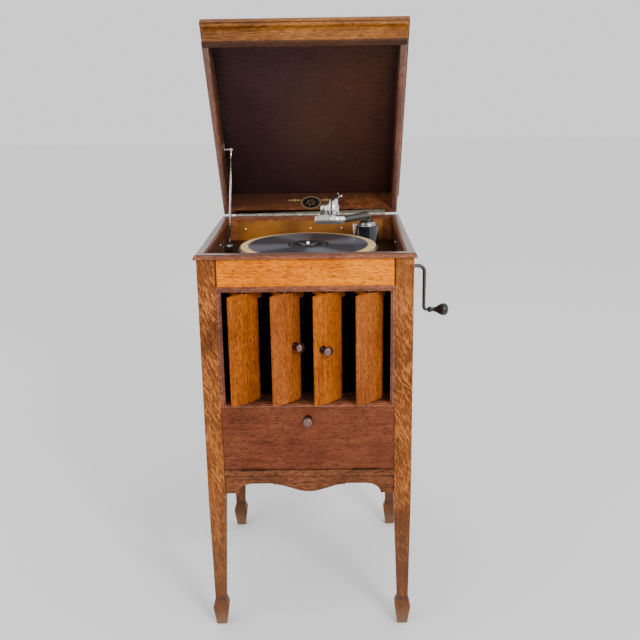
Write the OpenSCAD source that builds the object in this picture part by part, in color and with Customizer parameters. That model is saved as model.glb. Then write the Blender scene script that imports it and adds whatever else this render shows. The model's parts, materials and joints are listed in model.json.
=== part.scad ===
// Floor-standing gramophone: oak case on four tapered legs, hinged lid, four pivoted
// shutters over an internal horn, drop-front record compartment, spring motor and tonearm.
// Origin: floor, centre of the case. +Z up, -Y front, +X right (crank side). Millimetres.

/* [Case] */
// Width over the corner posts
body_w = 404; // [380:1:440]
// Depth over the corner posts
body_d = 446; // [420:1:480]
// Height of the top of the rim above the floor
body_h = 787; // [760:1:830]
// Side of a square corner post
post_w = 34; // [30:1:40]
// Height of the foot of the case above the floor
case_z = 298; // [280:1:320]
// How far the rails lie behind the faces of the posts
rail_set = 3; // [1:0.5:5]
// Thickness of the front rail
rail_t = 14; // [13:0.5:16]
// How far the panels lie behind the faces of the posts
panel_set = 5; // [3:0.5:7]
// Thickness of the side and back panels
panel_t = 11; // [9:0.5:13]
// Height of the front rail below the rim
front_rail_h = 52.5; // [40:0.5:56]

/* [Legs] */
// Width of a leg at the bottom of its taper
ankle_w = 22; // [18:1:26]
// Height of the ankle above the floor
ankle_z = 59; // [50:1:80]
// Inset of the outer faces at the ankle
ankle_in = 3; // [1:0.5:6]
// Greatest width of the spade foot
spade_w = 32; // [26:1:36]
// Height of the widest part of the spade foot
spade_z = 42; // [34:1:48]
// Width of the sole of the spade foot
sole_w = 21; // [16:1:24]

/* [Rim and deck] */
// Height of the rim moulding
rim_h = 10; // [9:0.5:14]
// How far the nose of the rim stands out from the posts
rim_over = 5; // [3:0.5:8]
// Width of the small rebate along the inner edge of the rim
rebate_w = 3; // [2:0.5:5]
// Depth of the well from the rim to the deck
well_depth = 55; // [50:1:62]
// Thickness of the deck
deck_t = 10; // [8:0.5:13]

/* [Front] */
// Height of the clear opening for the shutters
mouth_h = 224; // [200:1:230]
// Width of the side beads of the shutter frame
bead_w = 8.5; // [7:0.5:11]
// Height of the top bead of the shutter frame
head_bead_h = 10.5; // [9:0.5:14]
// Height of the sill bead of the shutter frame
sill_bead_h = 6; // [5:0.5:8]
// Width of the raised bead that runs round the frame
bead_strip = 2.6; // [2:0.1:3]
// Depth of the side beads
side_bead_d = 10; // [8:0.5:10.5]
// Thickness of the board between horn and record compartment
shelf_t = 14; // [11:0.5:16]
// Height of the drop-front door
door_h = 130; // [110:1:135]
// Thickness of the door
door_t = 15.5; // [13:0.5:15.5]
// Gap round the door
door_gap = 0.6; // [0.4:0.1:1.2]
// Height of the plain rail under the door
low_rail_h = 14; // [10:1:18]
// Thickness of the shaped apron
apron_t = 16; // [12:1:20]
// Drop of the apron below the plain rail at its level parts
apron_level = 17; // [14:1:20]
// Drop of the middle of the apron below the plain rail
apron_mid = 34.5; // [26:0.5:38]
// Half width of the apron's middle wave
apron_wave = 72; // [55:1:85]
// Width of the corner blocks of the apron
apron_corner = 26; // [18:1:36]
// Width of the rounding between a corner block and the level part
apron_curve = 30; // [14:1:34]
// Thickness of the bottom board
floor_t = 10; // [8:1:12]

/* [Shutters] */
// Number of shutters
shutter_n = 4; // [4:1:4]
// Distance between neighbouring pivots
shutter_pitch = 80; // [76:1:81]
// Width of a shutter across its faces
shutter_w = 69; // [64:1:70]
// Thickness of a shutter at its middle
shutter_mid_t = 13; // [9:0.5:15]
// Thickness of a shutter at its edges
shutter_edge_t = 5; // [4:0.5:6]
// Width of the tongue that closes the gap to the next shutter
tongue_w = 12; // [11.2:0.2:13]
// Thickness of the tongue
tongue_t = 3; // [2:0.5:4]
// Angle by which the shutters stand open
shutter_open = 43; // [10:1:60]
// Distance of the pivots behind the faces of the posts
pivot_in = 12; // [12:0.5:12]
// Clearance below a shutter
shutter_gap = 1.5; // [1:0.1:2]
// Clearance between the rounded top of a shutter and the head
shutter_top_gap = 4.5; // [3.5:0.1:6]
// Radius of the rounded top of a shutter
shutter_arch_r = 264; // [150:2:400]
// Height of the full corner that is left at the top of the tongue
corner_h = 10; // [6:0.5:14]
// Radius of the pivot pins
pivot_r = 2; // [1.5:0.1:2.5]
// Length of the link arms on top of the shutters
link_arm = 30; // [28:1:32]
// Radius of the head of a knob
knob_r = 10; // [8:0.1:11]
// Length of a knob
knob_l = 22.5; // [18:0.5:25]
// Radius of the base of a knob
knob_base_r = 8; // [6.5:0.1:9]
// Distance of a shutter knob from its shutter's middle
knob_u = 18; // [12:1:22]
// Height of the shutter knobs above the sill
knob_rise = 111; // [80:1:150]
// Distance of the door knob below the door's top edge
door_knob_drop = 24; // [20:1:45]

/* [Lid] */
// Angle by which the lid stands open
lid_open = 56.5; // [50:0.5:60]
// How far each side wall of the lid lies in from the side of the case
lid_side_set = 1.5; // [0:0.5:6]
// Depth of the lid over its walls
lid_d = 452; // [440:1:456]
// Inner height of the lid
lid_in_h = 57; // [54:1:62]
// Thickness of the lid's top board
lid_top_t = 16; // [12:0.5:18]
// Radius of the rounded lower edge of the lid's front wall
lid_edge_r = 4; // [2:0.5:6]
// Thickness of the lid's walls
lid_wall = 12.5; // [10:0.5:14]
// How far the lid's moulding stands out from its walls
lid_over = 8.5; // [6:0.5:11]
// Height of the moulding strip under the top board
lid_cove_h = 7; // [5:0.5:9]
// Length of the long hinge
hinge_l = 346; // [300:2:356]
// Width of a hinge leaf
leaf_w = 12; // [9:0.5:12]
// Thickness of a hinge leaf
leaf_t = 1.2; // [1:0.1:1.6]
// Radius of the hinge barrel
barrel_r = 2.8; // [2.4:0.1:3.2]
// Radius of the hinge pin
hinge_pin_r = 1.2; // [1:0.1:1.4]
// Number of hinge knuckles
knuckles = 15; // [9:2:21]

/* [Lid stay] */
// Distance of the stay from the lid's wall to its middle line
stay_off = 16; // [14:0.5:19]
// Distance of the upper pivot from the back of the lid
stay_back = 160; // [150:1:170]
// Height of the upper pivot above the lid's lower edge
stay_up = 38; // [34:1:42]
// Distance of the lower pivot from the back of the case
stay_low_back = 156; // [150:1:162]
// Height of the lower pivot above the deck
stay_low_z = 13; // [12:0.5:16]
// Radius of the thick part of the rod
stay_r = 2.5; // [2:0.1:2.8]
// Radius of the thin ends of the rod
stay_thin_r = 1.7; // [1.4:0.1:1.9]
// Clearance of the rod in its guide
stay_gap = 1.2; // [1:0.1:1.4]
// Length of the rod below its guide
stay_tail = 14; // [12:1:20]

/* [Turntable] */
// Radius of the turntable
platter_r = 146; // [140:1:150]
// Height of the skirt of the turntable
platter_h = 15; // [12:0.5:17]
// Thickness of the turntable's plate
platter_t = 3; // [2:0.5:4]
// Radius of the cloth
felt_r = 141; // [136:1:143]
// Thickness of the cloth
felt_t = 2.5; // [1.5:0.5:3]
// Radius of the record
record_r = 125; // [120:1:130]
// Thickness of the record
record_t = 2; // [1.6:0.2:2.4]
// Radius of the spindle
spindle_r = 3.6; // [3.4:0.1:3.8]
// Height of the spindle above the record
spindle_top = 6.5; // [5.5:0.5:10]
// Gap between deck and the lower edge of the turntable
platter_gap = 10.5; // [9:0.5:13]

/* [Tonearm] */
// Distance of the arm's pivot to the right of the spindle
arm_x = 129; // [126:1:132]
// Distance of the arm's pivot behind the spindle
arm_y = 130; // [126:1:134]
// Radius of the japanned base
base_r = 24; // [20:0.5:26]
// Radius of the tonearm's collar
collar_r = 20.5; // [18:0.5:22]
// Height of the base above the deck
base_h = 45; // [40:1:46]
// Height of the nickel collar on the base
collar_h = 11; // [9:0.5:13]
// Height of the arm's middle line above the collar at its pivot
arm_rise = 13; // [12.5:0.5:15]
// Radius of the arm's tube at its pivot end
arm_r0 = 9; // [8:0.5:10]
// Radius of the arm's tube at its far end
arm_r1 = 6.8; // [6:0.2:7.4]
// Wall of the arm's tube
arm_wall = 1.2; // [0.8:0.1:1.6]
// Length of the arm from its pivot to the elbow, seen from above
arm_len = 163.4; // [155:0.2:168]
// Climb of the arm over its length
arm_climb = 15; // [12:0.5:18]
// Angle of the arm from straight forward, towards the left
arm_turn = 21.5; // [16:0.5:24]
// Angle of the elbow's middle line from straight left, towards the back
elbow_turn = 4; // [0:0.5:8]
// Radius of the elbow
elbow_r = 9.3; // [8.4:0.1:9.6]
// Length of the crook's barrel on the far side of the elbow
crook_l = 30; // [24:1:34]

/* [Soundbox] */
// Radius of the soundbox
box_r = 26; // [23:0.5:26.4]
// Distance from the elbow's middle line to the soundbox's centre
box_off = 36.5; // [36.2:0.1:38]
// Lean of the soundbox's centre behind the upright, seen from the elbow
box_lean = 60; // [55:1:62]
// Lean of the needle behind the upright
needle_lean = 35; // [30:1:38]
// Thickness of the soundbox's housing
box_t = 12; // [10:0.5:13]
// Length of the needle beyond the soundbox
needle_l = 12; // [10:0.5:12.5]

/* [Motor] */
// Tooth module of the motor's gears
gear_m = 1.25; // [1.2:0.01:1.25]
// Teeth on the spring barrel
barrel_teeth = 64; // [64:4:64]
// Teeth on the spindle's pinion
pinion_teeth = 16; // [16:4:16]
// Tooth module of the winding gears
wind_m = 1.1; // [1.05:0.01:1.15]
// Teeth on the winding pinion
wind_teeth = 12; // [12:4:12]
// Teeth on the crown wheel
crown_teeth = 36; // [36:12:36]
// Radius of the spring barrel's drum
drum_r = 30; // [26:1:30]
// Height of the spring barrel's drum
drum_h = 30; // [26:1:30]
// Distance of the winding shaft behind the spindle
wind_y = 30; // [28:0.5:30]
// Radius of the governor's weights
weight_r = 6; // [5:0.5:7]

/* [Crank] */
// Throw of the crank
crank_throw = 97; // [85:1:110]
// Distance of the crank's arm from the side of the case
crank_out = 45; // [36:1:50]
// Radius of the crank's rod at the shaft
crank_r = 4; // [3:0.1:4.4]
// Radius of the crank's rod near the handle
crank_end_r = 3.6; // [2.6:0.1:4]
// Length of the wooden handle
handle_l = 44; // [38:1:48]
// Greatest radius of the wooden handle
handle_r = 13.6; // [11:0.1:15]

/* [Hidden] */
$fn = 64;

// Colours
oak = "#b5702a";
oak_dark = "#7a3f1e";
oak_inside = "#4a2415";
black_paint = "#10141c";
nickel = "#c9c9c6";
dull_nickel = "#8d8b86";
steel = "#5b5b60";
cloth_tan = "#cdb57c";
shellac = "#1b1e26";
bronze = "#6e5148";
ebony = "#141414";
japan = "#15171f";
iron = "#3a3b3d";
brass = "#b08d4a";

// Running clearances: between a shaft and its bore, between faces that pass, and for a seat
run_gap = 0.08;
pass_gap = 0.3;
seat_gap = 0.3;

// Case places
hw = body_w / 2;
lid_w = body_w - 2 * lid_side_set;
hd = body_d / 2;
in_x = hw - panel_set - panel_t;
in_y = hd - rail_set - rail_t;
back_y = hd - panel_set - panel_t - 1;
post_in_x = hw - post_w;
post_in_y = hd - post_w;
rim_z = body_h - rim_h;
deck_z = body_h - well_depth;
deck_under = deck_z - deck_t;
head_z = rim_z - front_rail_h;
mouth_top = head_z - head_bead_h;
sill_z = mouth_top - mouth_h;
door_top = sill_z - sill_bead_h - door_gap;
door_z = door_top - door_h;
low_rail_z = door_z - 1.5 - low_rail_h;
panel_z = low_rail_z - 14;
rail_face = -hd + rail_set;
rail_back = rail_face + rail_t;
pivot_y = -hd + pivot_in;
mouth_hw = post_in_x - bead_w;

// Turntable heights
platter_z = deck_z + platter_gap;
felt_z = platter_z + platter_h;
record_z = felt_z + felt_t;
record_top = record_z + record_t;

// Hinge axis of the lid
hinge_y = hd + barrel_r + 0.2;
hinge_z = body_h;

// Upper and lower pivots of the lid stay, with the lid closed
stay_x = -(lid_w / 2 - lid_wall - stay_off);
stay_top_y = hd - stay_back;
stay_top_z = body_h + stay_up;
stay_low_y = hd - stay_low_back;
stay_low_zz = deck_z + stay_low_z;
// The same upper pivot with the lid open
open_dy = stay_top_y - hinge_y;
open_dz = stay_top_z - hinge_z;
stay_open_y = hinge_y + open_dy * cos(lid_open) + open_dz * sin(lid_open);
stay_open_z = hinge_z - open_dy * sin(lid_open) + open_dz * cos(lid_open);
stay_lean = atan2(stay_open_y - stay_low_y, stay_open_z - stay_low_zz);
stay_reach = norm([stay_open_y - stay_low_y, stay_open_z - stay_low_zz]);

// Tonearm places
collar_z = deck_z + base_h;
arm_z = collar_z + collar_h + arm_rise;
elbow_x = arm_x - arm_len * sin(arm_turn);
elbow_y = arm_y - arm_len * cos(arm_turn);
elbow_z = arm_z + arm_climb;
arm_slope = atan2(arm_climb, arm_len);
arm_bend = arm_rise;

// Motor places
motor_top = deck_under - 3;
plate_t = 4.5;
motor_low = motor_top - 79;
barrel_c = gear_m * (barrel_teeth + pinion_teeth) / 2;
barrel_y = wind_y;
barrel_x = -sqrt(barrel_c * barrel_c - wind_y * wind_y);
wind_z = motor_top - plate_t - 8.6;
crown_plane = wind_z - wind_m * wind_teeth / 2;
crown_mean = wind_m * crown_teeth / 2;
train_z = crown_plane - 23;
drum_z = train_z - 1 - drum_h;
gov_y = -23.5;
gov_z = motor_low + 20;
worm_r = 4.2;
wheel_r = -gov_y - worm_r - pass_gap;

// Crank places
crank_x = hw + crank_out;

// Horn places: plan of the left board, and the profile of the top board
horn_front = -160;
horn_back = 106;
horn_knee = -82;
horn_right = in_x - 16;
horn_left_back = arm_x - 31;
horn_slope = (horn_left_back + mouth_hw) / (horn_back - horn_front);
horn_knee_x = -mouth_hw + horn_slope * (horn_knee - horn_front);
horn_t = 8;
horn_top_z = mouth_top - 1;
horn_knee_z = motor_low - 16;
horn_drop = 40;
horn_end_h = 62;
horn_end_z = horn_knee_z - horn_drop;
horn_end_low = horn_end_z - horn_end_h;
throat_r = 19;
throat_bore = 15;

// A square frustum between two levels, each with its own centre and width
module taper_block(c0, w0, z0, c1, w1, z1) {
  a = w0 / 2;
  b = w1 / 2;
  polyhedron(
    points = [
      [c0[0] - a, c0[1] - a, z0], [c0[0] + a, c0[1] - a, z0],
      [c0[0] + a, c0[1] + a, z0], [c0[0] - a, c0[1] + a, z0],
      [c1[0] - b, c1[1] - b, z1], [c1[0] + b, c1[1] - b, z1],
      [c1[0] + b, c1[1] + b, z1], [c1[0] - b, c1[1] + b, z1]
    ],
    faces = [
      [0, 1, 2, 3], [7, 6, 5, 4], [0, 4, 5, 1], [1, 5, 6, 2], [2, 6, 7, 3], [3, 7, 4, 0]
    ]
  );
}

// One leg: a square post that tapers below the case and ends in a spade foot
module leg(sx, sy) {
  top = [sx * (hw - post_w / 2), sy * (hd - post_w / 2)];
  foot = [sx * (hw - ankle_in - ankle_w / 2), sy * (hd - ankle_in - ankle_w / 2)];
  // The inner corner is cut away above the deck, so the well has square corners
  notch_y = sy < 0 ? in_y : back_y;
  color(oak) difference() {
    union() {
      translate([top[0] - post_w / 2, top[1] - post_w / 2, case_z])
        cube([post_w, post_w, rim_z - case_z]);
      taper_block(foot, ankle_w, ankle_z, top, post_w, case_z);
      taper_block(foot, spade_w, spade_z, foot, ankle_w, ankle_z);
      taper_block(foot, sole_w, 0, foot, spade_w, spade_z);
    }
    translate([sx > 0 ? 0 : -in_x, sy > 0 ? 0 : -notch_y, deck_under])
      cube([in_x, notch_y, rim_z]);
  }
}

module leg_front_left() { leg(-1, -1); }
module leg_front_right() { leg(1, -1); }
module leg_rear_left() { leg(-1, 1); }
module leg_rear_right() { leg(1, 1); }

// Upper rail of the front, above the shutters
module front_rail() {
  color(oak)
    translate([-post_in_x, rail_face, head_z])
      cube([2 * post_in_x, rail_t, rim_z - head_z]);
}

// Holes for the eight shutter pins in the sill and the head
module shutter_pin_holes() {
  for (i = [0 : shutter_n - 1])
    translate([shutter_x(i), pivot_y, 0]) {
      translate([0, 0, sill_z - sill_bead_h + 1])
        cylinder(r = pivot_r, h = sill_bead_h, $fn = 32);
      translate([0, 0, mouth_top - 1])
        cylinder(r = pivot_r, h = head_bead_h - 1, $fn = 32);
    }
}

function shutter_x(i) = (i - (shutter_n - 1) / 2) * shutter_pitch;

// A rectangle seen from the front, between two heights, h deep from the plane y
module front_plate(half_w, z0, z1, y, h) {
  translate([-half_w, y, z0])
    cube([2 * half_w, h, z1 - z0]);
}

// Beaded frame round the shutters: an outer flat, a raised bead and a lower inner step
module shutter_frame() {
  step = bead_w * 0.4;
  head_step = head_bead_h * 0.5;
  face = -hd + 1;
  inner = mouth_hw + step;
  low = sill_z - step / 2;
  high = mouth_top + head_step;
  color(oak_dark) difference() {
    union() {
      // Head and sill beads
      translate([-post_in_x, face, mouth_top])
        cube([2 * post_in_x, rail_back - face, head_z - mouth_top]);
      translate([-post_in_x, face, sill_z - sill_bead_h])
        cube([2 * post_in_x, rail_back - face, sill_bead_h]);
      // Side beads
      for (s = [-1, 1])
        translate([s > 0 ? mouth_hw : -post_in_x, face, sill_z])
          cube([bead_w, side_bead_d, mouth_h]);
      // The raised bead
      front_plate(inner + bead_strip, low - bead_strip, high + bead_strip, face - 1, 2);
    }
    // The inner step lies lower than the flat
    front_plate(inner, low, high, face - 2, 5);
    shutter_pin_holes();
  }
}

// Board between the horn and the record compartment
module shelf_board() {
  color(oak_dark)
    difference() {
      translate([-in_x, rail_back, sill_z - shelf_t])
        cube([2 * in_x, back_y - rail_back, shelf_t]);
      post_corners(sill_z - shelf_t - 1, shelf_t + 2);
    }
}

// The space that the four posts take from a board that reaches the panels
module post_corners(z, h) {
  for (sx = [-1, 1], sy = [-1, 1])
    translate([sx > 0 ? post_in_x : -hw - 1, sy > 0 ? post_in_y : -hd - 1, z])
      cube([post_w + 1, post_w + 1, h]);
}

// Outline of the apron, seen from the front, hanging from z = 0
function wave(x) = -apron_mid + (apron_mid - apron_level - 2) * (1 - cos(180 * x / apron_wave)) / 2;
function quarter(a) = [
  post_in_x - apron_corner - apron_curve * (1 - cos(a)),
  -apron_mid - 3.5 + (apron_mid + 3.5 - apron_level) * sin(a)
];
apron_right = concat(
  [for (x = [0 : apron_wave / 12 : apron_wave + 0.01]) [x, wave(x)]],
  [[apron_wave, -apron_level]],
  [for (a = [90 : -11.25 : 0]) quarter(a)],
  [[post_in_x, -apron_mid - 3.5], [post_in_x, 0]]
);
apron_left = [for (i = [len(apron_right) - 1 : -1 : 1]) [-apron_right[i][0], apron_right[i][1]]];

// Plain rail under the door and the shaped apron below it
module front_apron() {
  color(oak_dark) {
    translate([-post_in_x, -hd + 1, low_rail_z])
      cube([2 * post_in_x, apron_t, low_rail_h]);
    translate([0, -hd + 3 + apron_t, low_rail_z])
      rotate([90, 0, 0])
        linear_extrude(apron_t)
          polygon(concat(apron_right, apron_left));
  }
}

module bottom_board() {
  z = low_rail_z + low_rail_h - floor_t - 1;
  color(oak_dark) difference() {
    translate([-in_x, -hd + 1 + apron_t, z])
      cube([2 * in_x, back_y + hd - 1 - apron_t, floor_t]);
    post_corners(z - 1, floor_t + 2);
  }
}

// A side panel between two posts; the right one has the hole for the crank's shaft
module side_panel(s) {
  color(oak) difference() {
    translate([s > 0 ? in_x : -in_x - panel_t, -post_in_y, panel_z])
      cube([panel_t, 2 * post_in_y, rim_z - panel_z]);
    if (s > 0)
      translate([0, wind_y, wind_z])
        rotate([0, 90, 0])
          cylinder(r = crank_r + 2, h = body_w);
    panel_notch();
  }
}

// Long shallow curve cut in the lower edge of the side panels
module panel_notch() {
  translate([-body_w, 0, panel_z - 290])
    rotate([0, 90, 0])
      cylinder(r = 300, h = 2 * body_w, $fn = 180);
}

module side_panel_left() { side_panel(-1); }
module side_panel_right() { side_panel(1); }

module back_panel() {
  color(oak_inside)
    translate([-post_in_x, back_y, panel_z])
      cube([2 * post_in_x, panel_t, rim_z - panel_z]);
}

// Section of the rim: flat below, nose low down, long rounded shoulder, rebate along the inner edge
function rim_section(t, over) = concat(
  [[0, 0], [t + over - nose_r, 0]],
  [for (a = [-60 : 30 : 30]) [t + over - nose_r + nose_r * cos(a), nose_r + nose_r * sin(a)]],
  [[t + over * 0.6, rim_h * 0.72], [t + over * 0.3, rim_h - 0.8], [t + over * 0.3 - 1.2, rim_h],
   [rebate_w, rim_h], [rebate_w, rim_h - 1.8], [0, rim_h - 1.8]]
);
nose_r = 2.4;

// One mitred side of a rectangular moulding; half sizes of the inner edge are a and b
module mitred_side(a, b, reach) {
  intersection() {
    translate([-a - reach, 0, 0])
      rotate([90, 0, 90])
        linear_extrude(2 * (a + reach))
          children();
    translate([0, 0, -1])
      linear_extrude(100)
        polygon([[-a, 0], [a, 0], [a + reach, reach], [-a - reach, reach]]);
  }
}

module rim_moulding() {
  wall_x = hw - in_x;
  wall_f = hd - in_y;
  wall_b = hd - back_y;
  reach = wall_x + rim_over + 2;
  color(oak_dark) difference() {
    translate([0, 0, rim_z]) {
      translate([0, -in_y, 0])
        rotate([0, 0, 180])
          mitred_side(in_x, in_y, reach) polygon(rim_section(wall_f, rim_over));
      translate([0, back_y, 0])
        intersection() {
          mitred_side(in_x, back_y, reach) polygon(rim_section(wall_b, 0));
          translate([-hw - rim_over - 2, 0, -1])
            cube([body_w + 2 * rim_over + 4, wall_b, rim_h + 2]);
        }
      for (s = [-1, 1])
        rim_side(s, wall_x, reach);
    }
    // Seat of the hinge's lower leaf
    translate([-hinge_l / 2 - 0.2, hd - leaf_w - 0.2, body_h - leaf_t])
      cube([hinge_l + 0.4, leaf_w + 5, leaf_t + 1]);
  }
}

// Left or right side of the rim, mitred at the front and cut square at the back
module rim_side(s, wall, reach) {
  intersection() {
    translate([s * in_x, 0, 0])
      rotate([0, 0, s > 0 ? -90 : 90])
        translate([-300, 0, 0])
          rotate([90, 0, 90])
            linear_extrude(600)
              polygon(rim_section(wall, rim_over));
    translate([0, 0, -1])
      linear_extrude(rim_h + 2)
        polygon([
          [s * in_x, -in_y], [s * (in_x + reach), -in_y - reach],
          [s * (in_x + reach), hd], [s * (in_x + hd - back_y), hd], [s * in_x, back_y]
        ]);
  }
}

// Board that carries the turntable and the tonearm
module deck() {
  color(oak_inside) difference() {
    translate([-in_x, -in_y, deck_under])
      cube([2 * in_x, in_y + back_y, deck_t]);
    translate([0, 0, deck_under - 1])
      cylinder(r = spindle_r + 4, h = deck_t + 2);
    translate([arm_x, arm_y, deck_under - 1])
      cylinder(r = throat_bore, h = deck_t + 2);
    // Slot through which the lid stay slides down
    translate([stay_x - 6, stay_low_y - 22, deck_under - 1])
      cube([12, 34, deck_t + 2]);
    for (p = motor_bolts)
      translate([p[0], p[1], deck_under - 1])
        cylinder(r = 3.2, h = deck_t + 2, $fn = 32);
    translate([brake_pivot[0], brake_pivot[1], deck_under - 1])
      cylinder(r = 3, h = deck_t + 2, $fn = 32);
  }
}

// Boards of the horn: plan polygons between two levels
module horn_board(plan, z0, z1) {
  n = len(plan);
  polyhedron(
    points = concat(
      [for (i = [0 : n - 1]) [plan[i][0], plan[i][1], z0[i]]],
      [for (i = [0 : n - 1]) [plan[i][0], plan[i][1], z1[i]]]
    ),
    faces = concat(
      [[for (i = [0 : n - 1]) i]],
      [[for (i = [n - 1 : -1 : 0]) n + i]],
      [for (i = [0 : n - 1]) [i, n + i, n + (i + 1) % n, (i + 1) % n]]
    )
  );
}

module horn_top() {
  t = horn_t;
  color(black_paint) {
    horn_board(
      [[-mouth_hw, horn_front], [horn_right, horn_front],
       [horn_right, horn_knee], [horn_knee_x, horn_knee]],
      [horn_top_z - t, horn_top_z - t, horn_knee_z, horn_knee_z],
      [horn_top_z, horn_top_z, horn_knee_z + t, horn_knee_z + t]
    );
    horn_board(
      [[horn_knee_x, horn_knee], [horn_right, horn_knee],
       [horn_right, horn_back], [horn_left_back, horn_back]],
      [horn_knee_z, horn_knee_z, horn_end_z, horn_end_z],
      [horn_knee_z + t, horn_knee_z + t, horn_end_z + t, horn_end_z + t]
    );
  }
}

module horn_bottom() {
  color(black_paint)
    horn_board(
      [[-mouth_hw, horn_front], [horn_right, horn_front],
       [horn_right, horn_back], [horn_left_back, horn_back]],
      [sill_z, sill_z, horn_end_low - 6, horn_end_low - 6],
      [sill_z + 6, sill_z + 6, horn_end_low, horn_end_low]
    );
}

// Side boards of the horn: the left one slants across to the throat
module horn_sides() {
  t = horn_t;
  color(black_paint) {
    horn_side([-mouth_hw, horn_front], [horn_knee_x, horn_knee], [horn_left_back, horn_back], -t);
    horn_side([horn_right, horn_front], [horn_right, horn_knee], [horn_right, horn_back], t);
  }
}

module horn_side(a, b, c, t) {
  // Levels of the lower edge follow the bottom board
  rise = (horn_end_low - sill_z) / (horn_back - horn_front);
  knee_low = sill_z + rise * (horn_knee - horn_front);
  flip = t > 0;
  plan_ab = flip ? [a, [a[0] + t, a[1]], [b[0] + t, b[1]], b]
                 : [[a[0] + t, a[1]], a, b, [b[0] + t, b[1]]];
  plan_bc = flip ? [b, [b[0] + t, b[1]], [c[0] + t, c[1]], c]
                 : [[b[0] + t, b[1]], b, c, [c[0] + t, c[1]]];
  horn_board(plan_ab, [sill_z, sill_z, knee_low, knee_low],
    [horn_top_z, horn_top_z, horn_knee_z + horn_t, horn_knee_z + horn_t]);
  horn_board(plan_bc, [knee_low, knee_low, horn_end_low - 6, horn_end_low - 6],
    [horn_knee_z + horn_t, horn_knee_z + horn_t, horn_end_z + horn_t, horn_end_z + horn_t]);
}

// Cast throat: a pipe under the tonearm's base that opens forwards into the horn
module horn_throat() {
  box_l = arm_y + throat_r + 4 - horn_back;
  box_z = horn_end_low - 6;
  box_h = horn_end_z + horn_t - box_z;
  box_x = horn_left_back - horn_t;
  box_w = horn_right + horn_t - box_x;
  color(iron) difference() {
    union() {
      translate([box_x, horn_back, box_z])
        cube([box_w, box_l, box_h]);
      translate([arm_x, arm_y, box_z + box_h - 1])
        cylinder(r = throat_r, h = deck_under - box_z - box_h + 1);
    }
    translate([box_x + horn_t, horn_back - 1, box_z + 6])
      cube([box_w - 2 * horn_t, box_l - 5, box_h - 14]);
    translate([arm_x, arm_y, box_z + 10])
      cylinder(r = throat_bore, h = deck_under);
  }
}

// Places a closed lid's piece as it stands, open about the hinge
module on_lid() {
  translate([0, hinge_y, hinge_z])
    rotate([-lid_open, 0, 0])
      translate([0, -hinge_y, -hinge_z])
        children();
}

lid_hw = lid_w / 2;
lid_front = hd - lid_d;
lid_top_z = body_h + lid_in_h;

// Top board with its moulded edge
module lid_top() {
  ox = lid_hw + lid_over;
  fy = lid_front - lid_over;
  color(oak_dark) on_lid() {
    // Board, with a rounded upper edge made in two steps
    translate([-ox, fy, lid_top_z])
      cube([2 * ox, hd - fy, lid_top_t - 2.5]);
    translate([-ox + 2.5, fy + 2.5, lid_top_z + lid_top_t - 2.5])
      cube([2 * ox - 5, hd - fy - 2.5, 2.5]);
    // Cove strip under the board, outside the walls
    difference() {
      translate([-ox + 3, fy + 3, lid_top_z - lid_cove_h])
        cube([2 * ox - 6, hd - fy - 3, lid_cove_h]);
      translate([-lid_hw, lid_front, lid_top_z - lid_cove_h - 1])
        cube([lid_w, lid_d + 1, lid_cove_h + 2]);
    }
  }
}

// Front wall, with its lower outer edge rounded
module lid_front_wall() {
  r = lid_edge_r;
  color(oak) on_lid()
    translate([-lid_hw, lid_front, body_h])
      rotate([90, 0, 90])
        linear_extrude(lid_w)
          polygon(concat(
            [for (a = [180 : 15 : 270]) [r + r * cos(a), r + r * sin(a)]],
            [[lid_wall, 0], [lid_wall, lid_in_h], [0, lid_in_h]]
          ));
}

module lid_back_wall() {
  color(oak) on_lid() difference() {
    translate([-lid_hw + lid_wall, hd - lid_wall, body_h])
      cube([lid_w - 2 * lid_wall, lid_wall, lid_in_h]);
    // Seat of the hinge's upper leaf
    translate([-hinge_l / 2 - 0.2, hd - leaf_w - 0.2, body_h - 1])
      cube([hinge_l + 0.4, leaf_w + 5, leaf_t + 1]);
  }
}

module lid_side_walls() {
  color(oak_dark) on_lid()
    for (s = [-1, 1])
      translate([s > 0 ? lid_hw - lid_wall : -lid_hw, lid_front + lid_wall, body_h])
        cube([lid_wall, lid_d - lid_wall, lid_in_h]);
}

// Knuckles with an even or odd number, along the hinge
module hinge_knuckles(first) {
  w = hinge_l / knuckles;
  for (i = [first : 2 : knuckles - 1])
    translate([-hinge_l / 2 + i * w + pass_gap / 2, hinge_y, hinge_z])
      rotate([0, 90, 0])
        difference() {
          cylinder(r = barrel_r, h = w - pass_gap, $fn = 32);
          translate([0, 0, -1])
            cylinder(r = hinge_pin_r + (first == 0 ? 0 : run_gap), h = w + 2, $fn = 32);
        }
}

// Short webs that join each knuckle to its leaf
module hinge_webs(first, z) {
  w = hinge_l / knuckles;
  for (i = [first : 2 : knuckles - 1])
    translate([-hinge_l / 2 + i * w + pass_gap / 2, hd - 2, z])
      cube([w - pass_gap, hinge_y - hd + 2 - hinge_pin_r - 0.4, leaf_t - 0.1]);
}

module lid_hinge_leaf() {
  color(nickel) on_lid() {
    translate([-hinge_l / 2, hd - leaf_w, body_h + 0.05])
      cube([hinge_l, leaf_w - 1, leaf_t - 0.1]);
    hinge_webs(1, body_h + 0.05);
    hinge_knuckles(1);
  }
}

module case_hinge_leaf() {
  color(nickel) {
    translate([-hinge_l / 2, hd - leaf_w, body_h - leaf_t])
      cube([hinge_l, leaf_w - 1, leaf_t - 0.05]);
    hinge_webs(0, body_h - leaf_t);
    hinge_knuckles(0);
    translate([-hinge_l / 2, hinge_y, hinge_z])
      rotate([0, 90, 0])
        cylinder(r = hinge_pin_r, h = hinge_l, $fn = 32);
  }
}

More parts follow.
